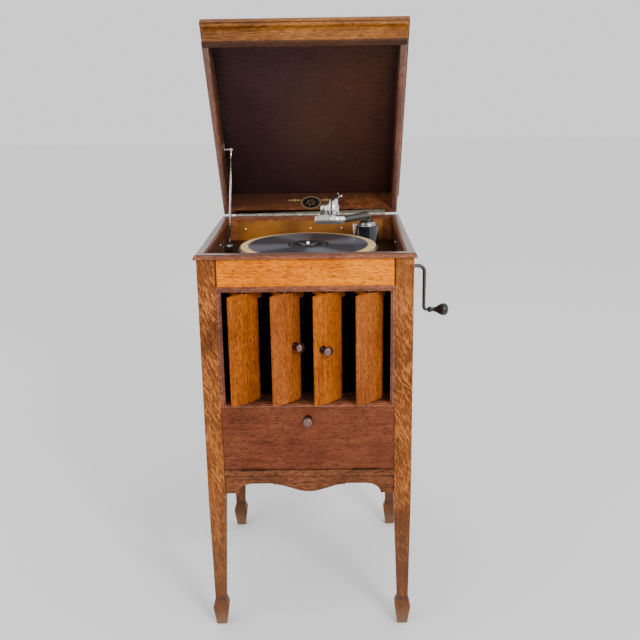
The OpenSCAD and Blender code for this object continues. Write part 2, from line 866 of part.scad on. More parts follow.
// Lid stay: bracket on the lid's left wall, with the pin that carries the rod
stay_pin_r = 2;
eye_r = 5;
eye_t = 4;
module stay_bracket() {
  wall = -(lid_hw - lid_wall);
  color(nickel) on_lid() {
    translate([wall, stay_top_y - 16, stay_top_z - 6])
      cube([2, 26, 12]);
    translate([wall + 1, stay_top_y, stay_top_z])
      rotate([0, 90, 0])
        cylinder(r = stay_pin_r + 1.6, h = stay_off - eye_t / 2 - pass_gap - 1, $fn = 32);
    translate([wall + 1, stay_top_y, stay_top_z])
      rotate([0, 90, 0])
        cylinder(r = stay_pin_r, h = stay_off + eye_t / 2 + pass_gap, $fn = 32);
    translate([stay_x + eye_t / 2 + pass_gap, stay_top_y, stay_top_z])
      rotate([0, 90, 0])
        cylinder(r = stay_pin_r + 1.4, h = 1.6, $fn = 32);
  }
}

// Rod of the stay: an eye on the bracket's pin, thin ends and a thick middle
module stay_rod() {
  color(nickel)
    translate([stay_x, stay_open_y, stay_open_z])
      rotate([-stay_lean, 0, 0])
        difference() {
          union() {
            rotate([0, 90, 0])
              cylinder(r = eye_r, h = eye_t, center = true, $fn = 48);
            translate([0, 0, -28])
              cylinder(r = stay_thin_r, h = 28 - stay_pin_r - 1, $fn = 32);
            translate([0, 0, -stay_reach + 36])
              cylinder(r = stay_r, h = stay_reach - 64, $fn = 32);
            translate([0, 0, -stay_reach - stay_tail])
              cylinder(r = stay_thin_r, h = stay_tail + 36.5, $fn = 32);
          }
          rotate([0, 90, 0])
            cylinder(r = stay_pin_r + run_gap, h = eye_t + 2, center = true, $fn = 48);
        }
}

// Swivelling guide through which the rod slides
guide_r = 6.5;
guide_l = 13;
guide_pin_r = 2.5;
module stay_guide() {
  color(nickel)
    translate([stay_x, stay_low_y, stay_low_zz])
      rotate([-stay_lean, 0, 0]) {
        difference() {
          rotate([0, 90, 0])
            cylinder(r = guide_r, h = guide_l, center = true, $fn = 48);
          cylinder(r = stay_r + stay_gap, h = 4 * guide_r, center = true, $fn = 48);
        }
        translate([-guide_l / 2, 0, 0])
          rotate([0, -90, 0])
            cylinder(r = guide_pin_r, h = in_x + stay_x - guide_l / 2, $fn = 32);
      }
}

// Drop-front door of the record compartment, hinged along its lower front edge
door_face = -hd + 1;
module door() {
  hx = post_in_x - door_gap;
  color(oak_dark) difference() {
    translate([-hx, door_face, door_z])
      cube([2 * hx, door_t, door_h]);
    // Hole for the knob's screw
    translate([0, door_face - 1, door_top - door_knob_drop])
      rotate([-90, 0, 0])
        cylinder(r = 2, h = 9, $fn = 32);
  }
}

// Profile of a turned knob along its axis, from its screw to its face
knob_profile = [
  [0, -7], [1.9, -7], [1.9, 0], [knob_base_r, 0], [knob_base_r * 0.94, knob_l * 0.09],
  [knob_r * 0.46, knob_l * 0.2], [knob_r * 0.44, knob_l * 0.38], [knob_r * 0.7, knob_l * 0.5],
  [knob_r * 0.95, knob_l * 0.6], [knob_r, knob_l * 0.7], [knob_r * 0.96, knob_l * 0.82],
  [knob_r * 0.78, knob_l * 0.92], [knob_r * 0.6, knob_l * 0.94], [knob_r * 0.52, knob_l],
  [0, knob_l]
];

module knob() {
  color(bronze)
    rotate_extrude($fn = 48)
      polygon(knob_profile);
}

module door_knob() {
  translate([0, door_face, door_top - door_knob_drop])
    rotate([90, 0, 0])
      knob();
}

// Two butt hinges under the door: one leaf below the door, the other on the rail
door_leaf_l = 46;
door_barrel_r = 1.35;
door_pin_r = 0.6;
door_leaf_t = 0.62;
door_hinge_y = door_face - 1.5;
door_hinge_z = door_z - 0.75;

// One hinge's leaf at the height z, with the knuckles at the places listed
module butt_hinge(z, places, bore) {
  w = door_leaf_l / 3;
  translate([-door_leaf_l / 2, door_face + 0.4, z])
    cube([door_leaf_l, door_t - 5, door_leaf_t]);
  for (i = places)
    translate([-door_leaf_l / 2 + i * w + pass_gap / 2, 0, 0]) {
      translate([0, door_hinge_y + door_pin_r + 0.25, z])
        cube([w - pass_gap, 2, door_leaf_t]);
      translate([0, door_hinge_y, door_hinge_z])
        rotate([0, 90, 0])
          difference() {
            cylinder(r = door_barrel_r, h = w - pass_gap, $fn = 32);
            translate([0, 0, -1])
              cylinder(r = bore, h = w + 2, $fn = 32);
          }
    }
}

module door_hinges() {
  color(brass)
    for (s = [-1, 1])
      translate([s * 110, 0, 0])
        butt_hinge(door_z - door_leaf_t, [1], door_pin_r + run_gap);
}

module rail_hinges() {
  color(brass)
    for (s = [-1, 1])
      translate([s * 110, 0, 0]) {
        butt_hinge(low_rail_z + low_rail_h, [0, 2], door_pin_r);
        translate([-door_leaf_l / 2, door_hinge_y, door_hinge_z])
          rotate([0, 90, 0])
            cylinder(r = door_pin_r, h = door_leaf_l, $fn = 32);
      }
}

// One shutter: a lens-shaped board with a tongue along its rear edge and a link arm on top
function lens(u) = shutter_edge_t / 2
  + (shutter_mid_t - shutter_edge_t) / 2 * (1 - pow(2 * u / shutter_w, 2));
lens_step = shutter_w / 12;
lens_pts = concat(
  [for (u = [-shutter_w / 2 : lens_step : shutter_w / 2 + 0.01]) [u, -lens(u)]],
  [for (u = [shutter_w / 2 : -lens_step : -shutter_w / 2 - 0.01]) [u, lens(u)]]
);
shutter_h = mouth_h - shutter_gap - shutter_top_gap;
link_z = 4.2;
corner_gap = 1;

module shutter(i, knob_side) {
  color(oak)
    translate([shutter_x(i), pivot_y, sill_z + shutter_gap])
      rotate([0, 0, shutter_open])
        difference() {
          union() {
            intersection() {
              union() {
                linear_extrude(shutter_h)
                  polygon(lens_pts);
                translate([shutter_w / 2 - 8, shutter_edge_t / 2 + 0.8, 0])
                  cube([8 + tongue_w, tongue_t, shutter_h]);
                // Corner left full where the rebate in front of the tongue stops
                if (i < shutter_n - 1)
                  translate([shutter_w / 2 - 8, -shutter_edge_t / 2, shutter_h - corner_h - 4])
                    cube([8 + shutter_pitch - shutter_w - corner_gap, shutter_edge_t + 1, corner_h + 4]);
              }
              translate([0, shutter_mid_t, shutter_h - shutter_arch_r])
                rotate([90, 0, 0])
                  cylinder(r = shutter_arch_r, h = 2 * shutter_mid_t, $fn = 180);
            }
            // Link arm, with its pin standing up through the link bar
            translate([-5, 0, shutter_h - 6.5])
              cube([10, link_arm + 5, 6]);
            translate([0, link_arm, shutter_h - 1])
              cylinder(r = 2.5, h = link_z + 7, $fn = 32);
          }
          translate([0, 0, -1])
            cylinder(r = pivot_r + run_gap, h = 11, $fn = 32);
          translate([0, 0, shutter_h - 9])
            cylinder(r = pivot_r + run_gap, h = 11, $fn = 32);
          if (knob_side != 0)
            translate([knob_side * knob_u, 0, knob_rise])
              rotate([90, 0, 0]) {
                // Hole for the knob's screw, and a flat seat for its base
                translate([0, 0, -3])
                  cylinder(r = 1.9, h = 20, $fn = 32);
                translate([0, 0, lens(knob_u)])
                  cylinder(r = knob_base_r + seat_gap, h = 10, $fn = 48);
              }
        }
}

module shutter_1() { shutter(0, 0); }
module shutter_2() { shutter(1, 1); }
module shutter_3() { shutter(2, -1); }
module shutter_4() { shutter(3, 0); }

// Bar that joins the four link arms, so the shutters turn together
module shutter_link() {
  z = sill_z + shutter_gap + shutter_h + link_z;
  dx = -link_arm * sin(shutter_open);
  y = pivot_y + link_arm * cos(shutter_open);
  color(steel) difference() {
    translate([shutter_x(0) + dx - 6, y - 5, z])
      cube([shutter_x(3) - shutter_x(0) + 12, 10, 3]);
    for (i = [0 : shutter_n - 1])
      translate([shutter_x(i) + dx, y, z - 1])
        cylinder(r = 2.5 + run_gap, h = 5, $fn = 32);
  }
}

// Eight steel pivot pins in the sill and the head
module shutter_pins() {
  color(steel)
    for (i = [0 : shutter_n - 1])
      translate([shutter_x(i), pivot_y, 0]) {
        translate([0, 0, sill_z - sill_bead_h + 1])
          cylinder(r = pivot_r, h = sill_bead_h + 8, $fn = 32);
        translate([0, 0, mouth_top - 9])
          cylinder(r = pivot_r, h = head_bead_h + 7, $fn = 32);
      }
}

module shutter_knob(i, side) {
  translate([shutter_x(i), pivot_y, sill_z + shutter_gap + knob_rise])
    rotate([0, 0, shutter_open])
      translate([side * knob_u, -lens(knob_u), 0])
        rotate([90, 0, 0])
          knob();
}

module shutter_knob_left() { shutter_knob(1, 1); }
module shutter_knob_right() { shutter_knob(2, -1); }

// Turntable: pressed plate with a skirt and a hub
module platter() {
  z = platter_z;
  color(dull_nickel)
    rotate_extrude($fn = 180)
      polygon([
        [spindle_r + run_gap, z - 4], [14, z - 4], [14, z + platter_h - platter_t - 4],
        [18, z + platter_h - platter_t], [platter_r - 3, z + platter_h - platter_t],
        [platter_r - 3, z], [platter_r, z], [platter_r, z + platter_h - 2],
        [platter_r - 2, z + platter_h], [spindle_r + run_gap, z + platter_h]
      ]);
}

module platter_cloth() {
  color(cloth_tan)
    translate([0, 0, felt_z])
      difference() {
        cylinder(r = felt_r, h = felt_t, $fn = 180);
        translate([0, 0, -1])
          cylinder(r = spindle_r + run_gap, h = felt_t + 2);
      }
}

// Record with a raised edge bead and label land
module record() {
  t = record_t;
  color(shellac)
    translate([0, 0, record_z])
      rotate_extrude($fn = 180)
        polygon([
          [spindle_r + run_gap, 0], [record_r - 0.6, 0], [record_r, 0.6], [record_r, t - 0.6],
          [record_r - 0.6, t], [record_r - 3, t], [record_r - 5, t - 0.3],
          [48, t - 0.3], [46, t], [spindle_r + run_gap, t]
        ]);
}

// Steel spindle, with the pinion and the fibre wheel that drives the governor
module spindle() {
  low = motor_low + 1;
  color(steel) difference() {
    union() {
      translate([0, 0, low])
        cylinder(r = spindle_r, h = record_top + spindle_top - 2 - low);
      translate([0, 0, record_top + spindle_top - 2])
        cylinder(r1 = spindle_r, r2 = spindle_r * 0.4, h = 2);
      translate([0, 0, train_z])
        rotate([0, 0, pinion_phase])
          gear(pinion_teeth, gear_m, 8);
      translate([0, 0, gov_z - 4])
        cylinder(r = wheel_r, h = 8, $fn = 96);
    }
    // Hollow groove of the fibre wheel, in which the worm lies
    translate([0, 0, gov_z])
      rotate_extrude($fn = 96)
        translate([-gov_y, 0])
          circle(r = worm_r + 1, $fn = 48);
  }
}

// Spur gear of straight-sided teeth with ample backlash
function gear_points(n, m) = [
  for (i = [0 : n - 1], k = [0 : 3])
    let (
      r = n * m / 2,
      step = 360 / n,
      a = i * step + [-0.30, -0.13, 0.13, 0.30][k] * step,
      q = [r - 0.85 * m, r + 0.6 * m, r + 0.6 * m, r - 0.85 * m][k]
    )
    [q * cos(a), q * sin(a)]
];
module gear(n, m, h) {
  linear_extrude(h)
    polygon(gear_points(n, m));
}

// Phases that put a tooth of one wheel in a gap of the other
barrel_angle = atan2(barrel_y, barrel_x);
pinion_phase = barrel_angle + 180 / pinion_teeth;
barrel_phase = barrel_angle + 180;

// Japanned base of the tonearm
module tonearm_base() {
  color(japan)
    translate([arm_x, arm_y, deck_z])
      difference() {
        union() {
          cylinder(r = base_r, h = base_h);
          cylinder(r = base_r + 1.2, h = 4);
        }
        translate([0, 0, -1])
          cylinder(r = throat_bore, h = base_h + 2);
      }
}

// Nickel collar in which the arm turns
spigot_r = 7.6;
module tonearm_collar() {
  h = collar_h;
  neck = arm_r0 + 1.5;
  color(nickel)
    translate([arm_x, arm_y, collar_z])
      rotate_extrude($fn = 72)
        polygon(concat(
          [[spigot_r + run_gap, 0], [collar_r, 0], [collar_r, 2], [collar_r - 1.5, 3]],
          [for (a = [20 : 14 : 90]) [neck + (collar_r - neck - 2) * cos(a), 3 + (h - 3) * sin(a)]],
          [[spigot_r + run_gap, h]]
        ));
}

// Nickel upright beside the base
post_wide = 6.2;
post_clear = 2;
module tonearm_post() {
  color(nickel)
    translate([arm_x - base_r - post_clear - post_wide, arm_y - 4, deck_z]) {
      cube([post_wide, 9, base_h + 4]);
      translate([0, 0, base_h + 1.5])
        cube([post_wide + post_clear + 2.5, 9, 2.5]);
    }
}

// Turns a piece from the X axis to the direction of the arm, at the arm's pivot
module on_arm() {
  translate([arm_x, arm_y, arm_z])
    rotate([0, 0, -90 - arm_turn])
      children();
}

// Hollow tapered tube of the arm, a ring, the bend and the spigot that turns in the collar
module tonearm_tube() {
  l = norm([arm_len, arm_climb]);
  bore = arm_r1 - arm_wall;
  knee = arm_bend * (1 - cos(45));
  color(dull_nickel) on_arm()
    difference() {
      union() {
        translate([arm_bend, 0, 0])
          rotate([0, 90 - arm_slope, 0]) {
            cylinder(r1 = arm_r0, r2 = arm_r1, h = l - arm_bend - elbow_r * 0.6, $fn = 64);
            translate([0, 0, -1.6])
              cylinder(r = arm_r0 + 0.7, h = 3.4, $fn = 64);
          }
        // Quarter bend from the collar up into the tube
        translate([arm_bend, 0, -arm_bend])
          rotate([90, 0, 180])
            rotate_extrude(angle = 90, $fn = 64)
              translate([arm_bend, 0])
                circle(r = arm_r0 - 0.5, $fn = 48);
        translate([0, 0, -arm_bend - 9])
          cylinder(r = spigot_r, h = 10, $fn = 48);
        translate([0, 0, -arm_bend + pass_gap])
          cylinder(r = arm_r0 + 1.2, h = 2.2, $fn = 48);
      }
      translate([arm_bend, 0, 0])
        rotate([0, 90 - arm_slope, 0])
          translate([0, 0, -8])
            cylinder(r = bore, h = l, $fn = 48);
      translate([knee, 0, -knee])
        sphere(r = bore, $fn = 48);
      translate([0, 0, -arm_bend - 10])
        cylinder(r = bore, h = 18, $fn = 48);
    }
}

// Turns a piece to the elbow's own frame: +X right along the elbow, +Y back, +Z up
module on_elbow() {
  translate([elbow_x, elbow_y, elbow_z])
    rotate([0, 0, -elbow_turn])
      children();
}

// Nickel elbow at the end of the arm, with a rounded right end
elbow_left = 21;
crook_spigot_r = 5;
module tonearm_elbow() {
  color(nickel) difference() {
    on_elbow() {
      translate([-elbow_left, 0, 0])
        rotate([0, 90, 0])
          cylinder(r = elbow_r, h = elbow_left, $fn = 64);
      sphere(r = elbow_r, $fn = 64);
      translate([-elbow_left, 0, 0])
        rotate([0, 90, 0])
          cylinder(r = elbow_r + 0.6, h = 2, $fn = 64);
    }
    // Bore for the spigot of the crook, and socket for the arm's tube
    on_elbow()
      translate([-elbow_left - 1, 0, 0])
        rotate([0, 90, 0])
          cylinder(r = crook_spigot_r + run_gap, h = 13, $fn = 48);
    on_arm()
      rotate([0, 90 - arm_slope, 0])
        translate([0, 0, norm([arm_len, arm_climb]) - elbow_r * 1.6])
          cylinder(r = arm_r1 + 0.35, h = elbow_r, $fn = 48);
  }
}

// Turns a piece to the soundbox: the needle points along +Z at the soundbox's centre
box_left = -24.5;
module on_box() {
  on_elbow()
    translate([box_left, box_off * sin(box_lean), box_off * cos(box_lean)])
      rotate([-needle_lean, 0, 0])
        children();
}

// Crook that swivels on the elbow and carries the soundbox on a short neck
module soundbox_crook() {
  dy = box_off * sin(box_lean);
  dz = box_off * cos(box_lean);
  mid = -elbow_left - crook_l / 2 - 1;
  color(nickel) on_elbow() {
    translate([-elbow_left - pass_gap - crook_l, 0, 0])
      rotate([0, 90, 0])
        cylinder(r = elbow_r - 0.3, h = crook_l, $fn = 64);
    translate([-elbow_left - pass_gap - 2, 0, 0])
      rotate([0, 90, 0])
        cylinder(r = crook_spigot_r, h = 13, $fn = 48);
    translate([-elbow_left - crook_l - 2.5, 0, 0])
      rotate([0, 90, 0])
        cylinder(r1 = elbow_r - 1, r2 = elbow_r + 1.4, h = 3.2, $fn = 64);
    // Neck that leans back and up, then a bell that meets the soundbox's back
    translate([mid, 0, 0])
      rotate([-box_lean, 0, 0])
        cylinder(r = 6.8, h = box_off, $fn = 48);
    translate([mid - 8, dy, dz])
      rotate([0, 90, 0])
        rotate_extrude($fn = 64)
          polygon([
            [0, 0], [4, 0], [6.4, 1], [8, 3], [8.4, 6], [8.4, 10], [10, 14],
            [14, box_left - mid + 6], [14, box_left - mid + 8], [0, box_left - mid + 8]
          ]);
  }
}

// Soundbox: back plate, rubber gasket, nickel housing and front ring
module soundbox() {
  color(nickel) on_box() {
    rotate([0, 90, 0])
      difference() {
        union() {
          cylinder(r = box_r, h = 2.5, $fn = 96);
          cylinder(r = box_r - 3, h = 6, $fn = 96);
          translate([0, 0, 5])
            cylinder(r = box_r, h = box_t - 2, $fn = 96);
          translate([0, 0, box_t + 2.9])
            cylinder(r = box_r - 2.5, h = 2, $fn = 96);
        }
        // The diaphragm lies at the bottom of the front recess
        translate([0, 0, box_t - 1])
          cylinder(r = box_r - 6, h = 10, $fn = 96);
      }
    // Stylus bar across the front, with the chuck at the rim
    translate([box_t + 1.5, -1.5, 2])
      cube([3, 3, box_r - 1]);
    translate([box_t + 3, 0, box_r - 4])
      cylinder(r = 3.4, h = 9.5, $fn = 32);
    translate([box_t - 1.5, 0, 0])
      rotate([0, 90, 0])
        cylinder(r = 1.4, h = 5, $fn = 24);
  }
}

module needle() {
  color(steel) on_box()
    translate([box_t + 3, 0, box_r + 5.5]) {
      cylinder(r = 0.8, h = needle_l - 9, $fn = 24);
      translate([0, 0, needle_l - 9.01])
        cylinder(r1 = 0.8, r2 = 0.15, h = 3.5, $fn = 24);
    }
}

// Thumb screw that clamps the needle in the chuck
module needle_screw() {
  color(nickel) on_box()
    translate([box_t + 6.4 + pass_gap, 0, box_r + 2.2])
      rotate([0, 90, 0]) {
        cylinder(r = 1.2, h = 3, $fn = 24);
        translate([0, 0, 2.5])
          cylinder(r = 3, h = 3, $fn = 32);
      }
}

// Motor frame: two plates, four pillars, the governor's bearings and the bolts to the deck
motor_bolts = [[-78, -40], [58, 52], [58, -52]];
plate_x0 = -88;
plate_x1 = 68;
plate_y = 62;
module motor_frame() {
  z0 = motor_low;
  z1 = motor_top - plate_t;
  color(iron) difference() {
    union() {
      translate([plate_x0, -plate_y, z1])
        cube([plate_x1 - plate_x0, 2 * plate_y + 14, plate_t]);
      translate([plate_x0, -plate_y, z0 - 4])
        cube([plate_x1 - plate_x0, 2 * plate_y + 14, 4]);
      for (x = [plate_x0 + 6, plate_x1 - 6], y = [-plate_y + 6, plate_y + 8])
        translate([x, y, z0 - 1])
          cylinder(r = 4, h = z1 - z0 + 2, $fn = 32);
      // Governor bearings
      for (x = [-16, 52])
        translate([x, gov_y - 5, z0 - 1])
          cube([4, 10, gov_z - z0 + 7]);
      for (p = motor_bolts)
        translate([p[0], p[1], 0]) {
          translate([0, 0, motor_top - 1])
            cylinder(r = 3, h = deck_z - motor_top + 1, $fn = 32);
          translate([0, 0, motor_top - 0.5])
            cylinder(r = 8, h = 3.5, $fn = 32);
          translate([0, 0, deck_z])
            cylinder(r = 6, h = 3, $fn = 32);
        }
      // Bearing of the winding shaft
      translate([44, wind_y - 8, wind_z - 7])
        cube([6, 16, z1 - wind_z + 8]);
    }
    translate([0, 0, z0])
      cylinder(r = spindle_r + run_gap, h = 200);
    translate([barrel_x, barrel_y, z1 - 1])
      cylinder(r = 3 + run_gap, h = 20, $fn = 48);
    translate([barrel_x, barrel_y, z0 - 5])
      cylinder(r = 3 + run_gap, h = 10, $fn = 48);
    translate([-20, gov_y, gov_z])
      rotate([0, 90, 0])
        cylinder(r = 2 + run_gap, h = 80, $fn = 32);
    translate([40, wind_y, wind_z])
      rotate([0, 90, 0])
        cylinder(r = crank_r + 0.5 + run_gap, h = 14, $fn = 48);
  }
}

// Spring barrel: drum with the great wheel on top, turning on the arbor
module spring_barrel() {
  color(brass)
    translate([barrel_x, barrel_y, drum_z])
      difference() {
        union() {
          cylinder(r = drum_r, h = drum_h, $fn = 96);
          translate([0, 0, drum_h - 0.01])
            cylinder(r = 12, h = train_z - drum_z - drum_h + 0.02);
          translate([0, 0, train_z - drum_z])
            rotate([0, 0, barrel_phase])
              gear(barrel_teeth, gear_m, 6);
        }
        translate([0, 0, -1])
          cylinder(r = 3 + run_gap, h = drum_h + 60, $fn = 48);
        // Space in which the mainspring lies
        translate([0, 0, 3])
          difference() {
            cylinder(r = drum_r - 3, h = drum_h - 6, $fn = 96);
            translate([0, 0, -1])
              cylinder(r = 8, h = drum_h);
          }
      }
}

// Winding arbor with its crown wheel, whose teeth stand up towards the winding pinion
module winding_arbor() {
  wheel_t = 3;
  base = crown_plane - 0.9 * wind_m - wheel_t;
  color(steel)
    translate([barrel_x, barrel_y, 0]) {
      translate([0, 0, motor_low - 4])
        cylinder(r = 3, h = motor_top - motor_low + 2, $fn = 48);
      translate([0, 0, base])
        cylinder(r = crown_mean + 3.4, h = wheel_t, $fn = 96);
      for (i = [0 : crown_teeth - 1])
        rotate([0, 0, (i + 0.5) * 360 / crown_teeth])
          translate([crown_mean - 3, -0.55, base + wheel_t - 0.01])
            cube([6, 1.1, 1.35 * wind_m]);
    }
}

// Governor: a horizontal shaft with a worm, three weights and a friction disc
module governor() {
  color(brass)
    translate([0, gov_y, gov_z]) {
      translate([-16, 0, 0])
        rotate([0, 90, 0])
          cylinder(r = 2, h = 72, $fn = 32);
      translate([-8, 0, 0])
        rotate([0, 90, 0])
          rotate_extrude($fn = 48)
            polygon(concat(
              [[0, 0]],
              [for (i = [0 : 7]) each [[worm_r - 1.2, i * 2], [worm_r, i * 2 + 1]]],
              [[worm_r - 1.2, 16], [0, 16]]
            ));
      // End collar, sliding collar and friction disc
      translate([14, 0, 0])
        rotate([0, 90, 0])
          cylinder(r = 5, h = 4, $fn = 32);
      translate([43, 0, 0])
        rotate([0, 90, 0])
          cylinder(r = 5, h = 3, $fn = 32);
      translate([46, 0, 0])
        rotate([0, 90, 0])
          cylinder(r = 11, h = 1.5, $fn = 48);
      for (a = [0, 120, 240])
        rotate([a, 0, 0]) {
          translate([30, 0, 9.5])
            sphere(r = weight_r, $fn = 32);
          translate([14, 0, 4.2])
            rotate([0, 90, 0])
              cylinder(r = 0.7, h = 32, $fn = 24);
        }
    }
}

// Crank: shaft with its winding pinion, bent rod and the handle's spindle
crank_bend = 13;
end_bend = 7;
module crank() {
  x_arm = crank_x - crank_bend;
  color(steel)
    translate([0, wind_y, wind_z]) {
      translate([barrel_x + crown_mean - 3, 0, 0])
        rotate([0, 90, 0])
          gear(wind_teeth, wind_m, 6);
      translate([barrel_x + crown_mean + 2, 0, 0])
        rotate([0, 90, 0])
          cylinder(r = crank_r + 0.5, h = hw + 4 - barrel_x - crown_mean - 2, $fn = 48);
      translate([hw, 0, 0])
        rotate([0, 90, 0])
          cylinder(r = crank_r, h = x_arm - hw, $fn = 48);
      // Bend from the shaft down into the arm
      translate([x_arm, 0, -crank_bend])
        rotate([90, 0, 0])
          rotate_extrude(angle = 90, $fn = 64)
            translate([crank_bend, 0])
              circle(r = crank_r, $fn = 32);
      translate([crank_x, 0, -crank_throw + end_bend])
        cylinder(r1 = crank_end_r, r2 = crank_r, h = crank_throw - end_bend - crank_bend, $fn = 32);
      // Bend from the arm out into the handle's spindle
      translate([crank_x + end_bend, 0, -crank_throw + end_bend])
        rotate([90, 180, 0])
          rotate_extrude(angle = 90, $fn = 64)
            translate([end_bend, 0])
              circle(r = crank_end_r, $fn = 32);
      translate([crank_x + end_bend, 0, -crank_throw])
        rotate([0, 90, 0])
          cylinder(r = crank_end_r, h = 2, $fn = 32);
      translate([crank_x + end_bend + 1, 0, -crank_throw])
        rotate([0, 90, 0])
          cylinder(r = 2, h = handle_l - 6, $fn = 32);
    }
}

// Pear-shaped handle that turns on its spindle
module crank_handle() {
  l = handle_l;
  r = handle_r;
  color(ebony)
    translate([crank_x + end_bend + 2 + pass_gap, wind_y, wind_z - crank_throw])
      rotate([0, 90, 0])
        difference() {
          rotate_extrude($fn = 64)
            polygon([
              [0, 0], [4.6, 0], [6.8, 2.2], [6.8, 4.6], [5, 7.2], [4.5, 9.5], [4.9, 13],
              [r * 0.5, l * 0.42], [r * 0.72, l * 0.52], [r * 0.9, l * 0.62], [r, l * 0.72],
              [r * 0.98, l * 0.82], [r * 0.82, l * 0.92], [r * 0.5, l * 0.98], [0, l]
            ]);
          translate([0, 0, -1])
            cylinder(r = 2 + run_gap, h = l - 5, $fn = 32);
        }
}

// Brake lever on the deck: its pad swings in against the turntable's skirt
brake_reach = 55;
brake_gap = 4.6;
brake_pad_r = 5;
brake_out = platter_r + brake_gap + brake_pad_r;
brake_pad = [-brake_out * cos(45), -brake_out * sin(45)];
brake_pivot = [brake_pad[0] - brake_reach * cos(45), brake_pad[1] + brake_reach * sin(45)];
module brake_lever() {
  arm = brake_reach + 34;
  color(nickel)
    translate([brake_pivot[0], brake_pivot[1], deck_z + pass_gap])
      rotate([0, 0, -45]) {
        cylinder(r = 7, h = 3, $fn = 48);
        translate([0, -3.5, 0])
          cube([arm, 7, 3]);
        translate([brake_reach, 0, 1])
          cylinder(r = brake_pad_r, h = platter_gap + 7, $fn = 48);
        translate([arm, 0, 0])
          cylinder(r = 4.2, h = 12, $fn = 48);
        translate([0, 0, -deck_t + 2])
          cylinder(r = 3 - run_gap, h = deck_t, $fn = 48);
      }
}

// Round-headed screws on the walls of the well, and the plate of the lid stay
module screw_head() {
  difference() {
    intersection() {
      translate([0, 0, -1.2])
        sphere(r = 3.2, $fn = 32);
      cylinder(r = 4, h = 4, $fn = 32);
    }
    translate([-4, -0.35, 1.3])
      cube([8, 0.7, 2]);
  }
}

module well_fittings() {
  z = deck_z + 26;
  color(nickel) {
    for (x = [-in_x + 36, 0, in_x - 114])
      translate([x, back_y, z])
        rotate([90, 0, 0])
          screw_head();
    for (y = [-in_y + 86, 14])
      translate([-in_x, y, z])
        rotate([0, 90, 0])
          screw_head();
    for (y = [-in_y + 86, 50])
      translate([in_x, y, z - 4])
        rotate([0, -90, 0])
          screw_head();
    // Plate in which the guide of the lid stay swivels
    difference() {
      translate([-in_x, stay_low_y - 13, stay_low_zz - 12])
        cube([3, 26, 24]);
      translate([-in_x - 1, stay_low_y, stay_low_zz])
        rotate([0, 90, 0])
          cylinder(r = guide_pin_r + run_gap, h = 5, $fn = 32);
    }
  }
}

leg_front_left();
leg_front_right();
leg_rear_left();
leg_rear_right();
front_rail();
shutter_frame();
shelf_board();
front_apron();
bottom_board();
side_panel_left();
side_panel_right();
back_panel();
rim_moulding();
deck();
horn_top();
horn_bottom();
horn_sides();
horn_throat();
lid_top();
lid_front_wall();
lid_back_wall();
lid_side_walls();
lid_hinge_leaf();
case_hinge_leaf();
stay_bracket();
stay_rod();
stay_guide();
door();
door_knob();
door_hinges();
rail_hinges();
shutter_1();
shutter_2();
shutter_3();
shutter_4();
shutter_link();
shutter_pins();
shutter_knob_left();
shutter_knob_right();
platter();
platter_cloth();
record();
spindle();
tonearm_base();
tonearm_collar();
tonearm_post();
tonearm_tube();
tonearm_elbow();
soundbox_crook();
soundbox();
needle();
needle_screw();
motor_frame();
spring_barrel();
winding_arbor();
governor();
crank();
crank_handle();
brake_lever();
well_fittings();
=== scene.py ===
import json
import math

import bmesh
import bpy
from mathutils import Matrix, Vector


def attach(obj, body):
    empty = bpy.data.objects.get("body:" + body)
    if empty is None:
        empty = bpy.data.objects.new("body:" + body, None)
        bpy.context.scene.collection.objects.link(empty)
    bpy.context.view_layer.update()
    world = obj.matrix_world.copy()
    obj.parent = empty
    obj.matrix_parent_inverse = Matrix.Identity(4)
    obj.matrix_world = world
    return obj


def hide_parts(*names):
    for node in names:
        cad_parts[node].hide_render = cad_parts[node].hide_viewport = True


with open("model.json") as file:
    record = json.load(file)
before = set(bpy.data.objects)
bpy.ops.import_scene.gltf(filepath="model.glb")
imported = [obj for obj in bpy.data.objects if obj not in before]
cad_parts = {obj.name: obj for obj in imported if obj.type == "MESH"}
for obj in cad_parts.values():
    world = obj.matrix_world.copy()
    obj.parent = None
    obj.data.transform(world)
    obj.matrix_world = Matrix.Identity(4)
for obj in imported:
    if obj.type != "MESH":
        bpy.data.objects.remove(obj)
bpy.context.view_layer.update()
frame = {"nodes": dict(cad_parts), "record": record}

# Studio
# The camera stands where the photograph was taken from, well above the lid's
# hinge, and looks down. The floor is plain and pale, the light soft.
EYE = (0.05245, -1.82607, 1.11804)
YAW, PITCH, ROLL = -0.0164, -0.2784, -0.0149
FOCAL, SENSOR = 49.88, 36.0

ahead = Vector((math.sin(YAW) * math.cos(PITCH), math.cos(YAW) * math.cos(PITCH),
                math.sin(PITCH)))
right = Vector((math.cos(YAW), -math.sin(YAW), 0))
upward = right.cross(ahead)
across = math.cos(ROLL) * right + math.sin(ROLL) * upward
upright = -math.sin(ROLL) * right + math.cos(ROLL) * upward
camera = bpy.data.objects.new("camera", bpy.data.cameras.new("camera"))
camera.data.lens, camera.data.sensor_width = FOCAL, SENSOR
camera.data.clip_start, camera.data.clip_end = 0.05, 60
facing = Matrix((across, upright, -ahead)).transposed().to_4x4()
camera.matrix_world = Matrix.Translation(EYE) @ facing
bpy.context.scene.collection.objects.link(camera)
bpy.context.scene.camera = camera

